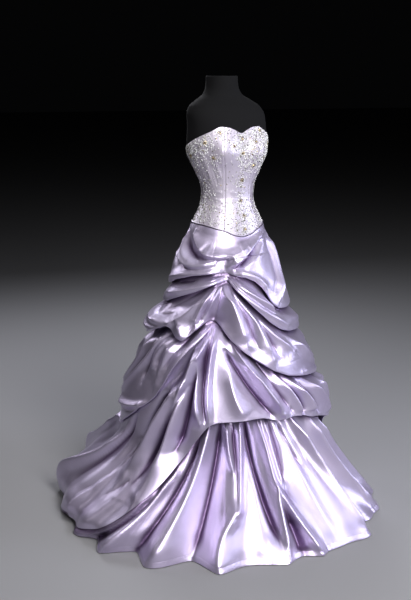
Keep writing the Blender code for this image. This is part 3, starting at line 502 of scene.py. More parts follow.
# %% [markdown]
# Now the layers are settled from the outside in. The first tier is free. The
# one beneath it is held back where the first covers it and swells to its
# full loft below that edge, and so on down to the underskirt. Each edge also
# curls under with a small roll, which the layer beneath leaves room for.
# %%
ROLL = {
    "tier_one": 0.0050, "tier_two": 0.0045, "tier_three": 0.0050,
    "swag": 0.0045, "overskirt": 0.0022, "underskirt": 0.0007,
}
waist_line = along_table(np.abs(FINE), BASQUE, 1) - 0.0007
TOPS = {
    "tier_one": waist_line, "underskirt": waist_line,
    "tier_two": EDGE_LINES["tier_one"] + 0.020,
    "tier_three": np.minimum(EDGE_LINES["tier_two"] + 0.020, EDGE_LINES["tier_one"] - 0.002),
    "swag": EDGE_LINES["tier_three"] + 0.028, "overskirt": EDGE_LINES["tier_three"] + 0.028,
}
LAYER_GAP, LET_OUT = 0.0030, 1.3


def roll_radius(layer, offset):
    return ROLL[layer] * np.clip(offset / 0.030, 0.25, 1.0)


def held_back(field, outer):
    """Keeps a layer inside the one that covers it, and lets it out below."""
    line = EDGE_LINES[outer][:, None]
    cover = sample(fields[outer], MAP_ANGLE, np.maximum(MAP_LEVEL, line))
    at_edge = 2 * roll_radius(outer, cover)
    room = at_edge * (1.0 - smoothstep(MAP_LEVEL - line, 0.020, 0.050)) + LAYER_GAP
    limit = cover - room + LET_OUT * np.maximum(0.0, line - 0.009 - MAP_LEVEL)
    share = 1.0 - 0.45 * smoothstep(MAP_LEVEL - line, -0.050, 0.0)
    held = np.minimum(field * share, limit)
    seat = smoothstep(MAP_LEVEL - line, 0.0, 0.022)
    held = held * (1.0 - 0.75 * seat)
    return np.maximum(held, LEAST_OFFSET)


COVERED_BY = {
    "tier_two": "tier_one", "tier_three": "tier_two", "swag": "tier_three",
    "overskirt": "tier_three", "underskirt": "overskirt",
}
LEAST_OFFSET, WAIST_OFFSET = CLOTH + 0.0012, 0.0055
fields = {}
rise_from_waist = smoothstep(TOPS["tier_one"][:, None] - MAP_LEVEL, 0.0, 0.030)
first = WAIST_OFFSET + (wanted("tier_one") - WAIST_OFFSET) * rise_from_waist
fields["tier_one"] = np.maximum(first, WAIST_OFFSET)
for layer in ("tier_two", "tier_three", "swag", "overskirt"):
    fields[layer] = held_back(wanted(layer), COVERED_BY[layer])

# The overskirt also has to pass inside the swag, between the swag's two ends.
over = fields["overskirt"]
swag_line = EDGE_LINES["swag"][:, None]
inside = fields["swag"] - 2 * ROLL["swag"] - LAYER_GAP
below_swag = np.minimum(over, inside + LET_OUT * (swag_line - MAP_LEVEL))
over_swag = np.where(MAP_LEVEL >= swag_line, np.minimum(over, inside), below_swag)
over_swag = np.maximum(over_swag, LEAST_OFFSET)
swag_turn = FINE % 360 - 360
span = smoothstep(np.minimum(SWAG_FIRST - swag_turn, swag_turn - SWAG_LAST), 0.0, 3.0)[:, None]
fields["overskirt"] = np.maximum(over * (1 - span) + over_swag * span, CLOTH + LAYER_GAP)

# The underskirt stays inside the overskirt wherever that covers it.
under = np.maximum(wanted("underskirt"), -0.050)
over_line = EDGE_LINES["overskirt"][:, None]
limit = sample(fields["overskirt"], MAP_ANGLE, np.maximum(MAP_LEVEL, over_line)) - 2 * LAYER_GAP
hidden = smoothstep(MAP_LEVEL - over_line, -0.02, 0.0)
held_under = np.minimum(under, np.maximum(limit, CLOTH) + 0.02 * (1 - hidden))
fields["underskirt"] = np.where(hidden > 0, held_under, under)
print("layers settled:", ", ".join(fields))

# %% [markdown]
# Painted shade: satin looks deeper in a hollow, where it is lit mostly by
# other satin, and here that shade is painted into its colour. The map of a
# layer minus a softened copy of itself tells where the hollows are. The strip
# just under the edge of the layer above gets painted shadow as well.
# %%
SOFTEN_ANGLE, SOFTEN_LEVEL = 7, 9
# painted shade begins at the first depth below the softened map and is full at the second
PAINTED_SHADE_START, PAINTED_SHADE_FULL = 0.0010, 0.0125


def softened_map(field):
    """Weighted mean of each spot's surroundings, round the skirt and up and down."""
    steps = np.arange(-2 * SOFTEN_ANGLE, 2 * SOFTEN_ANGLE + 1)
    weights = np.exp(-(steps / SOFTEN_ANGLE) ** 2)
    field = sum(w * np.roll(field, s, axis=0) for s, w in zip(steps, weights)) / weights.sum()
    steps = np.arange(-2 * SOFTEN_LEVEL, 2 * SOFTEN_LEVEL + 1)
    weights = np.exp(-(steps / SOFTEN_LEVEL) ** 2)
    padded = np.pad(field, ((0, 0), (2 * SOFTEN_LEVEL, 2 * SOFTEN_LEVEL)), mode="edge")
    count = field.shape[1]
    return sum(w * padded[:, k:k + count] for k, w in enumerate(weights)) / weights.sum()


painted_shade_maps = {}
for layer, field in fields.items():
    painted_shade_maps[layer] = smoothstep(softened_map(field) - field, PAINTED_SHADE_START, PAINTED_SHADE_FULL)
    # painted shadow in the strip under the edge of the layer above
    if layer in COVERED_BY:
        under = EDGE_LINES[COVERED_BY[layer]][:, None] - MAP_LEVEL
        painted_shade_maps[layer] = np.maximum(painted_shade_maps[layer], 0.9 * (1.0 - smoothstep(under, 0.002, 0.032)))
print("hollows:", ", ".join(f"{layer} {mask.mean():.2f}" for layer, mask in painted_shade_maps.items()))

# %% [markdown]
# A mesh is made from a grid of points, rows down and columns across, with a
# UV map in metres for the weave. Rows crowd together above the hem, where a
# line of stitching holds the turned edge and draws it into small puckers.
# %%


def make_mesh(name, vertices, faces, material, uv=None, painted_shade=None):
    mesh = bpy.data.meshes.new(name)
    mesh.from_pydata(vertices.tolist(), [], faces)
    mesh.materials.append(material)
    mesh.polygons.foreach_set("use_smooth", [True] * len(mesh.polygons))
    if uv is not None:
        layer = mesh.uv_layers.new(name="cloth")
        index = np.empty(len(mesh.loops), int)
        mesh.loops.foreach_get("vertex_index", index)
        layer.data.foreach_set("uv", uv[index].ravel())
    if painted_shade is not None:
        # the painted shade mask is kept on each point
        depth = mesh.attributes.new("painted_shade", "FLOAT", "POINT")
        depth.data.foreach_set("value", painted_shade.ravel())
    mesh.update()
    made = bpy.data.objects.new(name, mesh)
    bpy.context.scene.collection.objects.link(made)
    return made


def grid_mesh(name, grid, material, closed=False, painted_shade=None):
    rows, columns = grid.shape[:2]
    index = np.arange(rows * columns).reshape(rows, columns)
    right = np.roll(index, -1, axis=1) if closed else index[:, 1:]
    left = index if closed else index[:, :-1]
    faces = np.stack([left[:-1], left[1:], right[1:], right[:-1]], axis=-1).reshape(-1, 4)
    down = np.concatenate([np.zeros((1, columns)), np.cumsum(
        np.linalg.norm(np.diff(grid, axis=0), axis=-1), axis=0)])
    wide = np.linalg.norm(np.diff(grid, axis=1), axis=-1).mean(axis=0)
    across = np.concatenate([[0.0], np.cumsum(wide)])
    uv = np.stack([np.broadcast_to(across, (rows, columns)), -down], axis=-1).reshape(-1, 2)
    return make_mesh(name, grid.reshape(-1, 3), faces.tolist(), material, uv, painted_shade)


HEM_ROWS = np.array([0.028, 0.0236, 0.0214, 0.0200, 0.0186, 0.0164, 0.0110, 0.0055, 0.0])
STITCH_LINE, STITCH_WIDTH = 0.0200, 0.0012
HEM_SWELL, HEM_GROOVE, HEM_PUCKER = 0.0004, 0.0004, 0.0007


def skirt_grid(layer, first_angle, last_angle, columns, rows, turn_in):
    angle = np.linspace(first_angle, last_angle, columns + 1)
    top = np.interp(wrapped(angle), FINE, TOPS[layer], period=360)
    if layer == "underskirt":
        bottom = np.full(len(angle), HEM_HEIGHT)
    else:
        bottom = edge(angle, layer)
    loft = sample(fields[layer], angle, bottom)
    curl = roll_radius(layer, loft)
    share = np.linspace(0, 1, 241)[:, None]
    level = top + (bottom + curl - top) * share
    coarse = skirt_point(angle[None, :] + 0 * level, level, 0.0)
    run = np.linalg.norm(np.diff(coarse, axis=0), axis=-1)
    run = np.concatenate([np.zeros((1, len(angle))), np.cumsum(run, axis=0)])
    even = np.linspace(0, 1, rows + 1 - len(HEM_ROWS))
    heights = np.empty((rows + 1, len(angle)))
    for j in range(len(angle)):
        length = run[-1, j]
        stops = np.concatenate([even * (length - HEM_ROWS[0] - 0.007), length - HEM_ROWS])
        heights[:, j] = np.interp(stops, run[:, j], level[:, j])
    offsets = sample(fields[layer], angle[None, :] + 0 * heights, heights)
    if layer == "underskirt":
        wave = np.sin(angle * 2.7 + 1.7 * np.sin(angle * 0.9)) * (0.6 + 0.4 * np.sin(angle * 0.37))
        groove = HEM_GROOVE * np.exp(-((HEM_ROWS - STITCH_LINE) / STITCH_WIDTH) ** 2)
        swell = HEM_SWELL * smoothstep(STITCH_LINE - HEM_ROWS, 0.0, 0.003)
        pucker = HEM_PUCKER * np.exp(-((HEM_ROWS - 0.012) / 0.012) ** 2)
        offsets[-len(HEM_ROWS):] += (swell - groove)[:, None] + pucker[:, None] * wave
    curls = []
    last = offsets[-1]
    for turn in np.linspace(0, np.pi, 8)[1:]:
        curls.append((heights[-1] - curl * np.sin(turn), last - curl * (1 - np.cos(turn))))
    for up in (0.35, 1.0):
        curls.append((heights[-1] + turn_in * up, last - 2 * curl))
    all_heights = np.concatenate([heights, [c[0] for c in curls]])
    all_offsets = np.concatenate([offsets, [c[1] for c in curls]])
    all_angles = angle[None, :] + 0 * all_heights
    # painted shade mask at every point of the grid
    painted_shade = sample(painted_shade_maps[layer], all_angles, all_heights)
    return skirt_point(all_angles, all_heights, all_offsets), painted_shade


print("grid helpers ready")

# %% [markdown]
# The satin is a pale lilac with a fine weave. Thread streaks come from noise
# stretched along the cloth, the weave is two crossed waves in the UV map,
# and both only nudge the colour, the roughness and a shallow bump. Painted
# shade: an attribute mixes the colour towards deep plum in the valleys and
# under the tier edges. The sheen and the specular level are plain values.
# The other materials share the small helpers.
# %%


def put(node, **values):
    """Sets a node up. An underscore stands for a space in an input's name."""
    for key, value in values.items():
        label = key.replace("_", " ")
        if label in node.inputs:
            node.inputs[label].default_value = value
        else:
            setattr(node, key, value)
    return node


def add(tree, kind, **values):
    return put(tree.nodes.new(kind), **values)


def wire(source, target):
    target.id_data.links.new(source, target)


def new_material(name):
    material = bpy.data.materials.new(name)
    material.use_nodes = True
    tree = material.node_tree
    return material, tree, tree.nodes["Principled BSDF"]


def clouded(tree, scale, detail, dark, pale, split=None):
    """Noise in object coordinates, and two colours mixed by it."""
    place = add(tree, "ShaderNodeTexCoord")
    noise = add(tree, "ShaderNodeTexNoise", Scale=scale, Detail=detail)
    wire(place.outputs["Object"], noise.inputs["Vector"])
    share = noise.outputs["Fac"]
    if split:
        sharper = add(tree, "ShaderNodeMapRange", From_Min=split[0], From_Max=split[1])
        wire(share, sharper.inputs["Value"])
        share = sharper.outputs[0]
    mix = add(tree, "ShaderNodeMix", data_type="RGBA", A=dark, B=pale)
    wire(share, mix.inputs["Factor"])
    return noise.outputs["Fac"], mix.outputs["Result"]


def vary(source, low, high, target):
    """Sends a value between 0 and 1 to an input, in a range of its own."""
    level = add(target.id_data, "ShaderNodeMapRange", To_Min=low, To_Max=high)
    wire(source, level.inputs["Value"])
    wire(level.outputs[0], target)


def relief(source, strength, distance, shader):
    bump = add(shader.id_data, "ShaderNodeBump", Strength=strength, Distance=distance)
    wire(source, bump.inputs["Height"])
    wire(bump.outputs[0], shader.inputs["Normal"])


def weave_group():
    """Group with a fine twill mask and soft thread streaks, both 0 to 1."""
    group = bpy.data.node_groups.new("satin_threads", "ShaderNodeTree")
    for name, way in (("Threads per metre", "INPUT"), ("Weave", "OUTPUT"), ("Streaks", "OUTPUT")):
        group.interface.new_socket(name, in_out=way, socket_type="NodeSocketFloat")
    start, end = add(group, "NodeGroupInput"), add(group, "NodeGroupOutput")
    place = add(group, "ShaderNodeUVMap", uv_map="cloth")
    split = add(group, "ShaderNodeSeparateXYZ")
    wire(place.outputs["UV"], split.inputs[0])
    both = add(group, "ShaderNodeMath", operation="MULTIPLY_ADD")
    both.inputs[2].default_value = 0.5
    for k, axis in enumerate("XY"):
        scale = add(group, "ShaderNodeMath", operation="MULTIPLY")
        wire(split.outputs[axis], scale.inputs[0])
        wire(start.outputs["Threads per metre"], scale.inputs[1])
        wave = add(group, "ShaderNodeMath", operation="SINE")
        wire(scale.outputs[0], wave.inputs[0])
        wire(wave.outputs[0], both.inputs[k])
    stretch = add(group, "ShaderNodeMapping", Scale=(700.0, 16.0, 1.0))
    wire(place.outputs["UV"], stretch.inputs["Vector"])
    noise = add(group, "ShaderNodeTexNoise", Scale=1.0, Detail=3.0)
    wire(stretch.outputs[0], noise.inputs["Vector"])
    wire(both.outputs[0], end.inputs["Weave"])
    wire(noise.outputs["Fac"], end.inputs["Streaks"])
    return group


THREADS = weave_group()
THREADS_PER_METRE = 9000.0
# deep plum of the painted shade in the satin's valleys and under tier edges
PAINTED_SHADE_COLOUR = (0.125, 0.070, 0.175, 1)


def satin(name, deep, light, roughness, metallic, sheen):
    material, tree, shader = new_material(name)
    threads = add(tree, "ShaderNodeGroup", node_tree=THREADS, Threads_per_metre=THREADS_PER_METRE)
    cloud = clouded(tree, 7.0, 3.0, deep, light)[1]
    streak = add(tree, "ShaderNodeHueSaturation")
    vary(threads.outputs["Streaks"], 0.98, 1.02, streak.inputs["Value"])
    wire(cloud, streak.inputs["Color"])
    # painted shade: the attribute pulls the base colour towards deep plum
    painted_shade = add(tree, "ShaderNodeAttribute", attribute_name="painted_shade")
    shade = add(tree, "ShaderNodeMix", data_type="RGBA", B=PAINTED_SHADE_COLOUR)
    wire(painted_shade.outputs["Fac"], shade.inputs["Factor"])
    wire(streak.outputs[0], shade.inputs["A"])
    wire(shade.outputs["Result"], shader.inputs["Base Color"])
    vary(threads.outputs["Streaks"], roughness - 0.02, roughness + 0.02, shader.inputs["Roughness"])
    relief(threads.outputs["Weave"], 0.12, 0.0002, shader)
    put(shader, Metallic=metallic, Specular_IOR_Level=0.65, Sheen_Weight=sheen, Sheen_Roughness=0.35)
    put(shader, Coat_Weight=0.3, Coat_Roughness=0.30, Coat_IOR=1.9)
    return material


skirt_satin = satin("skirt_satin", (0.49, 0.415, 0.61, 1), (0.64, 0.58, 0.77, 1), 0.39, 0.72, 0.03)
print("satin ready")

# %% [markdown]
# Each layer becomes a front and a back panel, as it is cut. The rows are
# spaced evenly along the cloth and not by height, so the train that lies on
# the floor gets as many as the rest. A panel's UV map is measured along
# its own threads.
# %%
LAYER_ROWS = {
    "tier_one": (64, 0.014), "tier_two": (46, 0.012), "tier_three": (74, 0.014),
    "overskirt": (120, 0.012), "underskirt": (112, 0.012), "swag": (84, 0.012),
}
PANELS = [
    ("underskirt", "underskirt_front", -90, 90), ("underskirt", "underskirt_back", 90, 270),
    ("overskirt", "overskirt_front", -90, 90), ("overskirt", "overskirt_back", 90, 270),
    ("swag", "swag_side", -90, SWAG_FIRST), ("swag", "swag_back", SWAG_LAST, -90),
    ("tier_three", "tier_three_front", -90, 90), ("tier_three", "tier_three_back", 90, 270),
    ("tier_two", "tier_two_front", -90, 90), ("tier_two", "tier_two_back", 90, 270),
    ("tier_one", "tier_one_front", -90, 90), ("tier_one", "tier_one_back", 90, 270),
]
COLUMNS_PER_DEGREE = {"underskirt_front": 2.6, "overskirt_front": 2.2}
for layer, node, first_angle, last_angle in PANELS:
    rows, turn_in = LAYER_ROWS[layer]
    usual = 2.0 if node.endswith("front") else 1.6
    columns = int((last_angle - first_angle) * COLUMNS_PER_DEGREE.get(node, usual))
    grid, painted_shade = skirt_grid(layer, first_angle, last_angle, columns, rows, turn_in)
    piece = grid_mesh(node + "_satin", grid, skirt_satin, painted_shade=painted_shade)
    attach(piece, "root")
    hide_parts(node)
print("skirt panels:", len(PANELS))

# %% [markdown]
# The form under the gown is a hard shell in matt black jersey. Its rings are
# read from the same body function, closed at the neck and at the base. The
# knit is a fine noise in object coordinates, so it needs no UV map.
# %%


def jersey_material():
    material, tree, shader = new_material("black_jersey")
    fibre, colour = clouded(tree, 900.0, 2.0, (0.004, 0.004, 0.0045, 1), (0.009, 0.009, 0.010, 1))
    wire(colour, shader.inputs["Base Color"])
    relief(fibre, 0.25, 0.0003, shader)
    put(shader, Roughness=0.92, Specular_IOR_Level=0.10)
    return material


jersey = jersey_material()
RING_ANGLES = np.arange(0.0, 360.0, 2.5)
levels = np.concatenate([np.linspace(1.545, 1.40, 40), np.linspace(1.395, 0.84, 56)])
ring_angle, ring_level = np.meshgrid(RING_ANGLES, levels)
torso_grid = torso_point(ring_angle, ring_level)
crown = torso_grid[0].mean(axis=0)
caps = [crown + (torso_grid[0] - crown) * share for share in (0.001, 0.35, 0.7, 0.88, 0.95)]
torso_grid[0] = crown + (torso_grid[0] - crown) * 0.985
foot_centre = torso_grid[-1].mean(axis=0)
feet = [foot_centre + (torso_grid[-1] - foot_centre) * share for share in (0.97, 0.6, 0.001)]
torso_grid = np.concatenate([np.array(caps), torso_grid, np.array(feet)])
torso = grid_mesh("form_body", torso_grid, jersey, closed=True)
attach(torso, "root")
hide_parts("form_torso")


def metal_material():
    material, tree, shader = new_material("painted_metal")
    grit, colour = clouded(tree, 260.0, 4.0, (0.055, 0.055, 0.06, 1), (0.10, 0.10, 0.11, 1))
    wire(colour, shader.inputs["Base Color"])
    vary(grit, 0.34, 0.52, shader.inputs["Roughness"])
    put(shader, Metallic=1.0)
    return material


steel = metal_material()
for name in ("form_base", "form_pole"):
    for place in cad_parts[name].material_slots:
        place.material = steel
print("form rings:", len(torso_grid))

# %% [markdown]
# Seven panels make the bodice. Each follows the body at a small distance and
# dips along its seams, where the allowances pull the satin in. Each row of
# the table of wrinkles is a short line that the cloth pulls along, with its
# width and rise. The first rows of a panel turn its top edge in.
# %%
BODICE_PIECES = [
    ("bodice_centre_front", -36, 36), ("bodice_side_front_left", 36, 81),
    ("bodice_side_back_left", 81, 135), ("bodice_back_left", 135, 180),
    ("bodice_back_right", 180, 225), ("bodice_side_back_right", 225, 279),
    ("bodice_side_front_right", 279, 324),
]
SEAMS = np.array([-135.0, -81.0, -36.0, 36.0, 81.0, 135.0, 180.0])
BODICE_CLOTH, SEAM_GROOVE = 0.0022, 0.0008
BODICE_LIFT = REST_GAP + BODICE_CLOTH
WRINKLE_ARM = np.radians(0.11)
WRINKLES = [
    (-69, 1.290, -63, 1.160, 0.0060, 0.0024), (-75, 1.275, -69, 1.165, 0.0045, -0.0011),
    (-53, 1.268, -42, 1.185, 0.0050, 0.0019), (-59, 1.250, -51, 1.160, 0.0040, -0.0011),
    (-64, 1.152, -40, 1.146, 0.0045, 0.0013), (-66, 1.125, -38, 1.116, 0.0045, 0.0012),
    (-60, 1.096, -38, 1.090, 0.0045, 0.0010), (63, 1.250, 66, 1.160, 0.0050, 0.0013),
    (50, 1.235, 44, 1.170, 0.0045, 0.0012), (64, 1.150, 40, 1.142, 0.0045, 0.0011),
    (60, 1.112, 38, 1.106, 0.0045, 0.0010), (-26, 1.150, -4, 1.142, 0.0045, 0.0008),
    (-24, 1.124, 0, 1.118, 0.0040, 0.0008), (-22, 1.100, 2, 1.094, 0.0040, 0.0007),
    (-118, 1.130, -98, 1.122, 0.0045, 0.0010), (118, 1.134, 98, 1.126, 0.0045, 0.0010),
    (160, 1.120, 176, 1.112, 0.0045, 0.0009), (-160, 1.126, -176, 1.118, 0.0045, 0.0009),
    (150, 1.092, 172, 1.088, 0.0040, 0.0008), (-150, 1.098, -172, 1.092, 0.0040, 0.0008),
]


def bodice_lift(angle, height):
    """Distance of the satin from the form, with seams and wrinkles."""
    radius = np.linalg.norm(torso_point(angle, height)[..., :2], axis=-1)
    near = np.full(np.shape(radius), 1e9)
    for seam in SEAMS:
        near = np.minimum(near, np.abs(wrapped(angle - seam)) * np.pi / 180 * radius)
    pucker = 0.0003 * np.sin(height * 900.0) * np.exp(-(near / 0.006) ** 2)
    groove = SEAM_GROOVE * np.exp(-(near / 0.0022) ** 2)
    lift = BODICE_LIFT - groove + 0.0005 * np.exp(-((near - 0.005) / 0.003) ** 2)
    for a0, z0, a1, z1, width, rise in WRINKLES:
        run, fall = (a1 - a0) * WRINKLE_ARM, z1 - z0
        x, z = wrapped(angle - a0) * WRINKLE_ARM, height - z0
        t = np.clip((x * run + z * fall) / (run * run + fall * fall), 0.0, 1.0)
        away = (x - t * run) ** 2 + (z - t * fall) ** 2
        fade = smoothstep(t, 0.0, 0.3) * (1.0 - smoothstep(t, 0.7, 1.0))
        lift = lift + rise * fade * np.exp(-away / width ** 2)
    return np.maximum(lift + pucker, 0.0008)


def bodice_surface(angle, height, extra=0.0):
    """Point on the satin of the bodice and the direction it faces."""
    step_angle, step_height = 0.6, 0.0018
    across = torso_point(angle + step_angle, height) - torso_point(angle - step_angle, height)
    up = torso_point(angle, height + step_height) - torso_point(angle, height - step_height)
    out = np.cross(across, up)
    out = out / np.linalg.norm(out, axis=-1, keepdims=True)
    lift = (bodice_lift(angle, height) + extra)[..., None]
    return torso_point(angle, height) + out * lift, out


bodice_satin = satin("bodice_satin_cloth", (0.50, 0.445, 0.56, 1), (0.62, 0.57, 0.67, 1), 0.40, 0.50, 0.05)
for node, first_angle, last_angle in BODICE_PIECES:
    angle = np.linspace(first_angle, last_angle, int((last_angle - first_angle) * 0.9) + 1)
    top = along_table(np.abs(wrapped(angle)), NECKLINE, 1)
    bottom = along_table(np.abs(wrapped(angle)), BASQUE, 1) + 0.0003
    share = np.linspace(0, 1, 116)[:, None]
    height = top + (bottom - top) * share
    grid, out = bodice_surface(angle[None, :] + 0 * height, height)
    rim = [grid[0] + out[0] * drop + np.array([0, 0, up]) for drop, up in (
        (-0.0021, -0.0060), (-0.0021, 0.0004), (-0.0014, 0.0011), (-0.0005, 0.0010))]
    grid = np.concatenate([np.array(rim), grid])
    panel = grid_mesh(node + "_satin", grid, bodice_satin)
    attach(panel, "root")
    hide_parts(node)
print("bodice panels:", len(BODICE_PIECES))

# %% [markdown]
# A covered cord finishes the basque edge. It is a closed ring of small
# circles with a slight twist in its radius, so it reads as bound satin.
# %%
cord_angles = np.arange(0.0, 360.0, 1.0)
CORD_RISE, CORD_LIFT, CORD_RADIUS = 0.0025, 0.0017, 0.0019
cord_level = along_table(np.abs(wrapped(cord_angles)), BASQUE, 1) + CORD_RISE
cord_line, cord_out = bodice_surface(cord_angles, cord_level)
cord_line = cord_line + cord_out * CORD_LIFT
cord_rings = []
for turn in np.linspace(0, 2 * np.pi, 9)[:-1]:
    swell = CORD_RADIUS * (1 + 0.10 * np.sin(np.radians(cord_angles) * 120 + turn))
    side = cord_out * np.array([1, 1, 0])
    side = side / np.linalg.norm(side, axis=-1, keepdims=True)
    cord_rings.append(cord_line + swell[:, None] * (np.cos(turn) * side + np.array([0, 0, -np.sin(turn)])))
cord_rings.append(cord_rings[0])
edge_cord = grid_mesh("bodice_edge_cord_satin", np.array(cord_rings), bodice_satin, closed=True)
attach(edge_cord, "root")
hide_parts("bodice_edge_cord")
print("cord sections:", len(cord_angles))

# %% [markdown]
# Beadwork is sewn in five kinds: round seed beads, long petal beads, faceted
# stones, gilt seeds and dark stones that stand in for the shade between the
# beads, as painted shade. First the places are worked out: a rosette is a
# stone with a ring of gilt seeds and a ring of petals, and sprays curl out of
# it. Loose beads fill the bust and thin out down the front.
# %%
ROSETTES = [
    (-43.4, 1.353), (0.2, 1.332), (-19.1, 1.309), (26.5, 1.321), (43.7, 1.358), (1.9, 1.284),
    (-63.9, 1.320), (30.5, 1.240), (8.5, 1.189), (7.5, 1.116), (9.2, 1.064), (7.0, 1.018),
    (62.0, 1.312), (92.0, 1.275), (-92.0, 1.275), (125.0, 1.262), (-125.0, 1.262),
    (158.0, 1.258), (-158.0, 1.258), (-52.0, 1.270), (52.0, 1.265),
]
GILT_RING, PETAL_RING, SPRAY_START, SPRAY_STEP = 0.0062, 0.0112, 0.014, 0.0029
LOOSE_TRIES = 52000
sewing = np.random.default_rng(31)
places = {"seed": [], "petal": [], "stone": [], "gilt": [], "shade_stone": []}


def sew(kind, angle, height, size, turn=0.0):
    top = float(along_table(abs(float(wrapped(angle))), NECKLINE, 1))
    bottom = float(along_table(abs(float(wrapped(angle))), BASQUE, 1))
    if bottom + 0.006 < height < top - 0.002:
        places[kind].append((angle, height, size, turn))


def degrees_for(angle, height, length):
    radius = float(np.linalg.norm(torso_point(angle, height)[:2]))
    return math.degrees(length / radius)


for at, level in ROSETTES:
    per = degrees_for(at, level, 1.0)
    sew("stone", at, level, 0.0042)
    for k in range(9):
        turn = 2 * math.pi * k / 9
        sew("gilt", at + math.cos(turn) * GILT_RING * per, level + math.sin(turn) * GILT_RING, 0.0017)
    for k in range(8):
        turn = 2 * math.pi * (k + 0.5) / 8
        petal_at, petal_level = at + math.cos(turn) * PETAL_RING * per, level + math.sin(turn) * PETAL_RING
        sew("petal", petal_at, petal_level, 0.0044, turn)
    for k in range(3):
        turn = sewing.uniform(0, 2 * math.pi)
        bend = sewing.choice([-1, 1]) * sewing.uniform(0.20, 0.42)
        x, z = math.cos(turn) * SPRAY_START, math.sin(turn) * SPRAY_START
        for bead in range(9):
            sew("seed", at + x * per, level + z, 0.0012)
            if bead % 4 == 2:
                for hand in (-1, 1):
                    lean_by = turn + hand * 0.9
                    px, pz = x + math.cos(lean_by) * 0.0042, z + math.sin(lean_by) * 0.0042
                    sew("petal", at + px * per, level + pz, 0.0028, lean_by)
            x += math.cos(turn) * SPRAY_STEP
            z += math.sin(turn) * SPRAY_STEP
            turn += bend


BEADED_DEPTH = [
    (-180, 0.045), (-120, 0.050), (-92, 0.080), (-60, 0.078), (-36, 0.085), (-15, 0.105),
    (5, 0.140), (30, 0.160), (60, 0.145), (90, 0.090), (120, 0.050), (180, 0.045),
]


def thickness_of_beads(angle, height):
    """Share of the surface that beads cover, dense over the bust."""
    angle = wrapped(angle)
    down = along_table(np.abs(angle), NECKLINE, 1) - height
    depth = along_table(angle, BEADED_DEPTH, 1)
    band = 1.0 - smoothstep(down, 0.45 * depth, 1.05 * depth)
    bare = np.exp(-((angle + 29) / 15.0) ** 4) * (1.0 - smoothstep(down, 0.020, 0.036))
    band = band * (1.0 - 0.75 * bare) * (0.55 + 0.45 * smoothstep(angle, -30.0, 5.0))
    column = 0.50 * np.exp(-((angle - 6) / (10.0 + 90.0 * np.clip(1.10 - height, 0, 1))) ** 2)
    side = 0.22 * np.exp(-((np.abs(angle) - 80) / 22.0) ** 2)
    basque = 0.30 * (1.0 - smoothstep(height, 1.085, 1.125)) * np.exp(-(angle / 110.0) ** 4)
    rim = 0.30 * np.exp(-(down / 0.007) ** 2)
    return np.clip(0.92 * band + column + side + basque + rim + 0.035, 0, 1)


scatter_angle = sewing.uniform(-180, 180, LOOSE_TRIES)
scatter_level = sewing.uniform(1.0, 1.38, LOOSE_TRIES)
chance = sewing.uniform(0, 1, LOOSE_TRIES)
girth = np.linalg.norm(torso_point(scatter_angle, scatter_level)[:, :2], axis=-1) / 0.17
kept = chance < 0.55 * girth * thickness_of_beads(scatter_angle, scatter_level)
for at, level in zip(scatter_angle[kept], scatter_level[kept]):
    draw = sewing.uniform()
    if draw < 0.80:
        sew("seed", at, level, sewing.uniform(0.0013, 0.0023))
    elif draw < 0.975:
        sew("petal", at, level, sewing.uniform(0.0028, 0.0042), sewing.uniform(0, 6.28))
    else:
        sew("stone", at, level, sewing.uniform(0.0020, 0.0028))
# dark stones over the basque and among the beads stand in for the shade between beads, as painted shade
for at, level in zip(sewing.uniform(-125, 125, 190), sewing.uniform(1.0, 1.13, 190)):
    sew("shade_stone", at, level, sewing.uniform(0.0018, 0.0024))
for at, level in zip(sewing.uniform(-180, 180, 420), sewing.uniform(1.14, 1.37, 420)):
    if sewing.uniform() < 0.12 + 0.8 * thickness_of_beads(at, level):
        sew("shade_stone", at, level, sewing.uniform(0.0016, 0.0023))
print({kind: len(rows) for kind, rows in places.items()})

# %% [markdown]
# The beads themselves are made by Geometry Nodes. A mesh of bare points
# carries each bead's turn and size as attributes, and the tree puts one
# small bead on every point. The result is realized, given its material and
# kept as a plain mesh, so nothing is left live in the file.
# %%


def bead_material(name, dark, colour, metallic, roughness):
    material, tree, shader = new_material(name)
    shift, mixed = clouded(tree, 380.0, 1.0, dark, colour, split=(0.47, 0.51))
    wire(mixed, shader.inputs["Base Color"])
    vary(shift, roughness * 0.7, roughness * 1.4, shader.inputs["Roughness"])
    put(shader, Metallic=metallic)
    return material


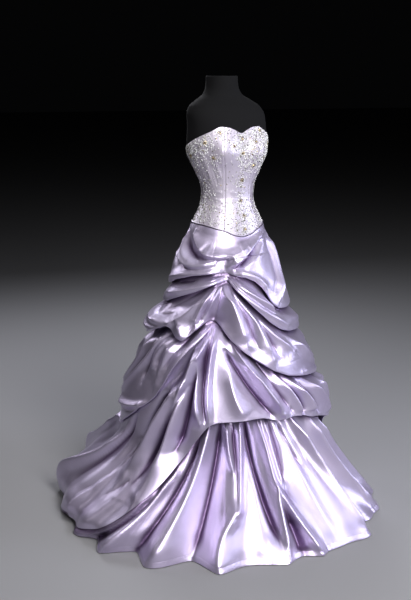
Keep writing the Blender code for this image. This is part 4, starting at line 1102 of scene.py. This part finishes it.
def bead_tree(name, kind, material):
    tree = bpy.data.node_groups.new(name, "GeometryNodeTree")
    tree.interface.new_socket("Geometry", in_out="INPUT", socket_type="NodeSocketGeometry")
    sizes = [
        tree.interface.new_socket(label, in_out="INPUT", socket_type="NodeSocketFloat")
        for label in ("Bead width", "Bead height")
    ]
    tree.interface.new_socket("Geometry", in_out="OUTPUT", socket_type="NodeSocketGeometry")
    start, end = add(tree, "NodeGroupInput"), add(tree, "NodeGroupOutput")
    if kind == "stone":
        bead = add(tree, "GeometryNodeMeshUVSphere", Segments=7, Rings=4, Radius=1.0)
    else:
        bead = add(tree, "GeometryNodeMeshIcoSphere", Subdivisions=1, Radius=1.0)
    flatten = add(tree, "ShaderNodeCombineXYZ", X=1.0)
    shape = add(tree, "GeometryNodeTransform")
    wire(start.outputs["Bead width"], flatten.inputs["Y"])
    wire(start.outputs["Bead height"], flatten.inputs["Z"])
    wire(bead.outputs["Mesh"], shape.inputs["Geometry"])
    wire(flatten.outputs[0], shape.inputs["Scale"])
    turn = add(tree, "GeometryNodeInputNamedAttribute", data_type="FLOAT_VECTOR", Name="turn")
    size = add(tree, "GeometryNodeInputNamedAttribute", data_type="FLOAT", Name="size")
    spin = add(tree, "FunctionNodeEulerToRotation")
    wire(turn.outputs["Attribute"], spin.inputs["Euler"])
    place = add(tree, "GeometryNodeInstanceOnPoints")
    wire(start.outputs["Geometry"], place.inputs["Points"])
    wire(shape.outputs["Geometry"], place.inputs["Instance"])
    wire(spin.outputs["Rotation"], place.inputs["Rotation"])
    wire(size.outputs["Attribute"], place.inputs["Scale"])
    real = add(tree, "GeometryNodeRealizeInstances")
    wire(place.outputs["Instances"], real.inputs["Geometry"])
    paint = add(tree, "GeometryNodeSetMaterial", Material=material)
    wire(real.outputs["Geometry"], paint.inputs["Geometry"])
    wire(paint.outputs["Geometry"], end.inputs["Geometry"])
    return tree, [socket.identifier for socket in sizes]


def string_beads(name, kind, rows, width, height, lift, material):
    rows = np.array(rows)
    spot, out = bodice_surface(rows[:, 0], rows[:, 1], rows[:, 2] * lift)
    eulers = []
    for normal, spin in zip(map(Vector, out), rows[:, 3]):
        east = Vector((0, 0, 1)).cross(normal).normalized()
        along = east * math.cos(spin) + normal.cross(east) * math.sin(spin)
        basis = np.array([along, normal.cross(along), normal]).T
        pitch = math.asin(max(-1.0, min(1.0, -basis[2, 0])))
        roll = math.atan2(basis[2, 1], basis[2, 2])
        eulers.append((roll, pitch, math.atan2(basis[1, 0], basis[0, 0])))
    mesh = bpy.data.meshes.new(name + "_points")
    mesh.from_pydata(spot.tolist(), [], [])
    turns = mesh.attributes.new("turn", "FLOAT_VECTOR", "POINT")
    turns.data.foreach_set("vector", np.array(eulers).ravel())
    mesh.attributes.new("size", "FLOAT", "POINT").data.foreach_set("value", rows[:, 2].copy())
    source = bpy.data.objects.new(name + "_points", mesh)
    bpy.context.scene.collection.objects.link(source)
    tree, size_ids = bead_tree(name + "_tree", kind, material)
    modifier = source.modifiers.new("beads", "NODES")
    modifier.node_group = tree
    for size_id, value in zip(size_ids, (width, height)):
        modifier[size_id] = value
    graph = bpy.context.evaluated_depsgraph_get()
    made = bpy.data.meshes.new_from_object(source.evaluated_get(graph))
    made.materials.clear()
    made.materials.append(material)
    source.modifiers.remove(modifier)
    bpy.data.objects.remove(source)
    beads = bpy.data.objects.new(name, made)
    bpy.context.scene.collection.objects.link(beads)
    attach(beads, "root")
    print(name, len(rows), "beads,", len(made.polygons), "faces")


# the near-black share of the silver seed beads is painted shade between the beads; the pale share is their
# silver
silver_and_shade = bead_material("silver_and_shade_beads", (0.05, 0.05, 0.04, 1), (0.98, 0.98, 0.99, 1), 0.10, 0.22)
pearl = bead_material("pearl_petals", (0.30, 0.29, 0.28, 1), (0.97, 0.96, 0.98, 1), 0.10, 0.24)
gold = bead_material("gold_stones", (0.12, 0.09, 0.04, 1), (0.66, 0.53, 0.28, 1), 0.80, 0.20)
# near-black stones that stand in for shade between the beads: painted shade
shade_stone = bead_material("dark_shade_stones", (0.030, 0.028, 0.022, 1), (0.20, 0.18, 0.13, 1), 0.30, 0.22)
BEADS = [
    ("bodice_seed_beads", "seed", "seed", 1.0, 0.8, 0.45, silver_and_shade),
    ("bodice_petal_beads", "petal", "petal", 0.42, 0.34, 0.2, pearl),
    ("bodice_stones", "stone", "stone", 1.0, 0.5, 0.25, gold),
    ("bodice_gilt_beads", "seed", "gilt", 1.0, 0.8, 0.45, gold),
    ("bodice_dark_shade_stones", "stone", "shade_stone", 1.0, 0.5, 0.25, shade_stone),
]
for name, kind, rows, width, height, lift, material in BEADS:
    string_beads(name, kind, places[rows], width, height, lift, material)

# %% [markdown]
# The studio is a pale floor, two large soft lights in front, one high and one
# low, a cool one on the right and two behind. Three weak ones lift the left
# side and the top. Satin shows its folds by what it mirrors, so most of the
# room stays dark and each light is an area with a clear edge.
# %%
floor_mesh = bpy.data.meshes.new("floor")
FLOOR_REACH, FLOOR_LEVEL = 60, -0.001
corners = [(x * FLOOR_REACH, y * FLOOR_REACH, FLOOR_LEVEL) for x, y in ((-1, -1), (1, -1), (1, 1), (-1, 1))]
floor_mesh.from_pydata(corners, [], [(0, 1, 2, 3)])
floor = bpy.data.objects.new("floor", floor_mesh)
bpy.context.scene.collection.objects.link(floor)
floor_paint, _, floor_shader = new_material("pale_floor")
put(floor_shader, Base_Color=(0.24, 0.24, 0.25, 1), Roughness=0.8)
floor_mesh.materials.append(floor_paint)
bpy.context.scene.view_settings.view_transform = "Standard"
world = bpy.data.worlds.new("studio")
bpy.context.scene.world = world
world.use_nodes = True
put(world.node_tree.nodes["Background"], Color=(0.80, 0.82, 0.90, 1), Strength=0.0015)


def soft_light(name, place, aim, size, power, colour):
    data = bpy.data.lights.new(name, "AREA")
    data.shape = "RECTANGLE"
    data.size, data.size_y = size
    data.energy = power
    data.color = colour
    lamp = bpy.data.objects.new(name, data)
    lamp.location = place
    lamp.rotation_mode = "QUATERNION"
    lamp.rotation_quaternion = (Vector(aim) - Vector(place)).to_track_quat("-Z", "Y")
    bpy.context.scene.collection.objects.link(lamp)


AIM_HEIGHT = 0.7
LIGHTS = [
    ("key", -4, 46, 3.2, 1.0, 1.5, 72, (1.0, 0.985, 0.97)),
    ("front_low", -8, 20, 3.3, 1.0, 1.2, 66, (1.0, 0.99, 0.99)),
    ("left_strip", -112, 30, 3.0, 0.35, 1.8, 4, (1.0, 0.95, 0.95)),
    ("camera_left", -56, 40, 3.4, 0.4, 1.2, 6, (1.0, 0.98, 0.98)),
    ("right_strip", 54, 19, 3.0, 1.1, 1.8, 42, (0.78, 0.82, 1.0)),
    ("top", 150, 80, 3.2, 1.0, 1.0, 9, (0.95, 0.95, 1.0)),
    ("behind", 165, 38, 3.4, 0.8, 1.6, 56, (0.92, 0.93, 1.0)),
    ("behind_right", -160, 24, 3.4, 0.5, 1.2, 14, (0.96, 0.94, 1.0)),
]
for name, azimuth, elevation, distance, width, height, power, colour in LIGHTS:
    rise, turn = math.radians(elevation), math.radians(azimuth)
    reach = distance * math.cos(rise)
    spot = (reach * math.sin(turn), -reach * math.cos(turn), AIM_HEIGHT + distance * math.sin(rise))
    soft_light(name, spot, (0, 0, AIM_HEIGHT), (width, height), power, colour)
camera_data = bpy.data.cameras.new("camera")
camera = bpy.data.objects.new("camera", camera_data)
bpy.context.scene.collection.objects.link(camera)
bpy.context.scene.camera = camera
CAMERA_AZIMUTH, CAMERA_PITCH, CAMERA_DISTANCE = -30.0, 12.151, 3.5
CAMERA_HEIGHT, CAMERA_SHIFT, CAMERA_LENS = 1.5, 0.0768, 58.79
turn, dip = math.radians(CAMERA_AZIMUTH), math.radians(CAMERA_PITCH)
back_way = Vector((math.sin(turn), -math.cos(turn), 0.0))
right_way = Vector((math.cos(turn), math.sin(turn), 0.0))
camera.location = back_way * CAMERA_DISTANCE - right_way * CAMERA_SHIFT + Vector((0, 0, CAMERA_HEIGHT))
ahead = -back_way * math.cos(dip) + Vector((0, 0, -math.sin(dip)))
camera.rotation_mode = "QUATERNION"
camera.rotation_quaternion = ahead.to_track_quat("-Z", "Y")
camera_data.lens = CAMERA_LENS
print("camera at", [round(value, 3) for value in camera.location])
